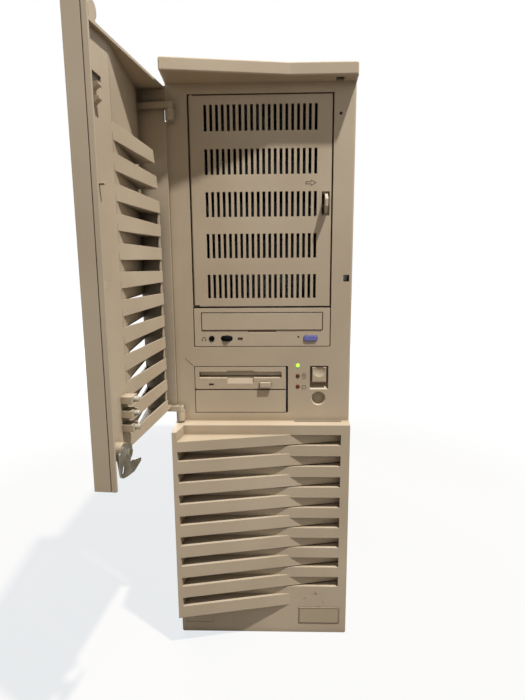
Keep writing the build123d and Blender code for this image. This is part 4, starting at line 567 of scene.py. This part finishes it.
# Thin ribs under the door's slats and a dark brown sheet in its catch hole, painted shade for the hollow,
# laid out on the shut door, in metres, and swung open with it
door_joint = next(joint for joint in frame["record"]["behaviour"]["joints"] if joint["name"] == "door_swing")
HINGE = Vector(door_joint["pos_m"])
SWING = Matrix.Rotation(math.radians(door_joint["range_deg"][0]), 4, "Z")
OPENED = Matrix.Translation(HINGE) @ SWING @ Matrix.Translation(-HINGE)
DOOR_Y = -0.2205
DOOR_WALL = 0.0025
CREASE_X = 0.0305
FRONT_SLOPE = 24.5 / 125.5
SLAT_COUNT, SLAT_TOP_Z, SLAT_PITCH = 12, 0.540, 0.0232
SLAT_ROOT, SLAT_TIP = 0.0138, 0.0117
SLAT_END_X, SLAT_CUT_Z, SLAT_CUT_SLOPE = -0.078, 0.490, 0.28
RIB_THICKNESS = 0.0012
RIB_BITE = 0.0003
HOLE_X, HOLE_Z, HOLE_WIDTH, HOLE_HEIGHT = 0.047, 0.5575, 0.015, 0.008
SHEET_FRONT, SHEET_BACK = 0.0006, 0.0014


def swung(points):
    """Points on the shut door, moved to where the door stands at rest."""
    return [OPENED @ Vector(point) for point in points]


ribs = []
rib_start_x = CREASE_X - DOOR_WALL / FRONT_SLOPE
for k in range(SLAT_COUNT - 1):
    top = SLAT_TOP_Z - SLAT_PITCH * k
    end_z = top - SLAT_TIP
    end_x = SLAT_END_X + SLAT_CUT_SLOPE * max(0.0, end_z - SLAT_CUT_Z)
    start_z = end_z - (SLAT_ROOT - SLAT_TIP) * (rib_start_x - end_x) / (CREASE_X - end_x)
    outer_y = DOOR_Y - (CREASE_X - end_x) * FRONT_SLOPE + DOOR_WALL - RIB_BITE
    corners = [(rib_start_x, DOOR_Y, start_z), (end_x, DOOR_Y, end_z), (end_x, outer_y, end_z)]
    ribs.append((swung(corners), swung([(x, y, z + RIB_THICKNESS) for x, y, z in corners])))
slabs("door_ribs", ribs, door_beige, "door")
hole_corners = [
    (HOLE_X, HOLE_Z),
    (HOLE_X + HOLE_WIDTH, HOLE_Z),
    (HOLE_X + HOLE_WIDTH, HOLE_Z + HOLE_HEIGHT),
    (HOLE_X, HOLE_Z + HOLE_HEIGHT),
]
# A dark sheet just behind the catch hole, as painted shade inside it
shade_rings = [swung([(x, DOOR_Y + y, z) for x, z in hole_corners]) for y in (SHEET_FRONT, SHEET_BACK)]
slabs("catch_hole_shade", [shade_rings], shade_brown, "door")


# Floor and surroundings: pale for the eye, plain for the light they give
FLOOR_SIZE = 12.0
FLOOR_DROP = 0.0005
FLOOR_COLOR = (0.15, 0.13, 0.11, 1)
LIFT_COLOR = (0.93, 0.965, 1.0, 1)
LIFT_NEAR, LIFT_FAR = 0.5, 1.8
LIFT_NEAR_LEVEL, LIFT_FAR_LEVEL = 0.8, 1.08
AMBIENT_COLOR, AMBIENT_LEVEL = (1.0, 0.98, 0.95, 1), 0.24
BACKDROP_COLOR, BACKDROP_LEVEL = (1.0, 1.0, 1.0, 1), 1.0


def seen(tree):
    """One for camera, glossy and transmission rays, nought for the rays that carry light."""
    path = tree.nodes.new("ShaderNodeLightPath")
    value = path.outputs["Is Camera Ray"]
    for ray in ("Is Glossy Ray", "Is Transmission Ray"):
        either = tree.nodes.new("ShaderNodeMath")
        either.operation = "MAXIMUM"
        tree.links.new(value, either.inputs[0])
        tree.links.new(path.outputs[ray], either.inputs[1])
        value = either.outputs[0]
    return value


def stage_material():
    """Floor that keeps the shadow: lifted to white where it is seen, fully so away from the object."""
    material = bpy.data.materials.new("stage_white")
    material.use_nodes = True
    tree = material.node_tree
    tree.nodes.clear()
    output = tree.nodes.new("ShaderNodeOutputMaterial")
    diffuse = tree.nodes.new("ShaderNodeBsdfDiffuse")
    diffuse.inputs["Color"].default_value = FLOOR_COLOR
    lift = tree.nodes.new("ShaderNodeEmission")
    lift.inputs["Color"].default_value = LIFT_COLOR
    place = tree.nodes.new("ShaderNodeTexCoord")
    distance = tree.nodes.new("ShaderNodeVectorMath")
    distance.operation = "LENGTH"
    tree.links.new(place.outputs["Object"], distance.inputs[0])
    level = tree.nodes.new("ShaderNodeMapRange")
    level.inputs["From Min"].default_value = LIFT_NEAR
    level.inputs["From Max"].default_value = LIFT_FAR
    level.inputs["To Min"].default_value = LIFT_NEAR_LEVEL
    level.inputs["To Max"].default_value = LIFT_FAR_LEVEL
    tree.links.new(distance.outputs["Value"], level.inputs["Value"])
    scale = tree.nodes.new("ShaderNodeMath")
    scale.operation = "MULTIPLY"
    tree.links.new(seen(tree), scale.inputs[0])
    tree.links.new(level.outputs["Result"], scale.inputs[1])
    tree.links.new(scale.outputs[0], lift.inputs["Strength"])
    add = tree.nodes.new("ShaderNodeAddShader")
    tree.links.new(diffuse.outputs[0], add.inputs[0])
    tree.links.new(lift.outputs[0], add.inputs[1])
    tree.links.new(add.outputs[0], output.inputs["Surface"])
    return material


floor_mesh = bpy.data.meshes.new("floor")
half = FLOOR_SIZE / 2
floor_corners = [(-half, -half, 0), (half, -half, 0), (half, half, 0), (-half, half, 0)]
floor_mesh.from_pydata(floor_corners, [], [(0, 1, 2, 3)])
floor_mesh.materials.append(stage_material())
floor = bpy.data.objects.new("floor", floor_mesh)
floor.location.z = -FLOOR_DROP
scene.collection.objects.link(floor)

world = bpy.data.worlds.new("studio")
scene.world = world
world.use_nodes = True
sky = world.node_tree
sky.nodes.clear()
sky_output = sky.nodes.new("ShaderNodeOutputWorld")
choose = sky.nodes.new("ShaderNodeMixShader")
sky.links.new(seen(sky), choose.inputs[0])
sky_parts = [
    (AMBIENT_COLOR, AMBIENT_LEVEL, choose.inputs[1]),
    (BACKDROP_COLOR, BACKDROP_LEVEL, choose.inputs[2]),
]
for color, strength, socket in sky_parts:
    background = sky.nodes.new("ShaderNodeBackground")
    background.inputs["Color"].default_value = color
    background.inputs["Strength"].default_value = strength
    sky.links.new(background.outputs[0], socket)
sky.links.new(choose.outputs[0], sky_output.inputs["Surface"])


def area_light(name, place, target, size, power, color):
    """Round lamp that faces a target."""
    data = bpy.data.lights.new(name, "AREA")
    data.shape = "DISK"
    data.size = size
    data.energy = power
    data.color = color
    lamp = bpy.data.objects.new(name, data)
    lamp.location = place
    lamp.rotation_euler = (Vector(target) - Vector(place)).to_track_quat("-Z", "Y").to_euler()
    scene.collection.objects.link(lamp)


# The key stands steeply over the front right, so that the hood and the louvres cast their shadows
# down and left. The fill and the back light are broad and weak.
KEY_TARGET = Vector((0.0, -0.22, 0.5))
KEY_DIRECTION = Vector((0.31, -0.26, 0.915)).normalized()
KEY_DISTANCE = 3.2
KEY_SIZE, KEY_POWER, KEY_COLOR = 0.12, 166.0, (1.0, 0.985, 0.965)
FILL_PLACE, FILL_TARGET, FILL_POWER = (-1.2, -1.8, 0.9), (0.0, -0.2, 0.35), 4.0
BACK_PLACE, BACK_TARGET, BACK_POWER = (-0.9, 1.7, 0.8), (0.0, 0.1, 0.35), 24.0
BROAD_SIZE, BROAD_COLOR = 1.4, (1.0, 0.98, 0.95)
area_light("key", KEY_TARGET + KEY_DIRECTION * KEY_DISTANCE, KEY_TARGET, KEY_SIZE, KEY_POWER, KEY_COLOR)
area_light("fill", FILL_PLACE, FILL_TARGET, BROAD_SIZE, FILL_POWER, BROAD_COLOR)
area_light("back", BACK_PLACE, BACK_TARGET, BROAD_SIZE, BACK_POWER, BROAD_COLOR)

# Camera where the photograph was taken, from a fit to the panel, the door and the louvres
LENS_MM = 24.50
SENSOR_MM = 36.0
CLIP_START, CLIP_END = 0.01, 50.0
CAMERA_PLACE = (0.01374, -0.72255, 0.42607)
TILT_DOWN = math.radians(9.752)
YAW_LEFT = math.radians(1.441)
ROLL = math.radians(-0.160)
LEVEL_VIEW = Matrix(((1, 0, 0), (0, 0, -1), (0, 1, 0)))
camera_data = bpy.data.cameras.new("camera")
camera_data.lens = LENS_MM
camera_data.sensor_width = SENSOR_MM
camera_data.clip_start = CLIP_START
camera_data.clip_end = CLIP_END
camera = bpy.data.objects.new("camera", camera_data)
scene.collection.objects.link(camera)
view = Matrix.Rotation(ROLL, 3, "Z") @ Matrix.Rotation(YAW_LEFT, 3, "Y")
view = view @ Matrix.Rotation(TILT_DOWN, 3, "X") @ LEVEL_VIEW
axes = Matrix((view[0], -view[1], -view[2])).transposed()
camera.matrix_world = Matrix.Translation(CAMERA_PLACE) @ axes.to_4x4()
scene.camera = camera
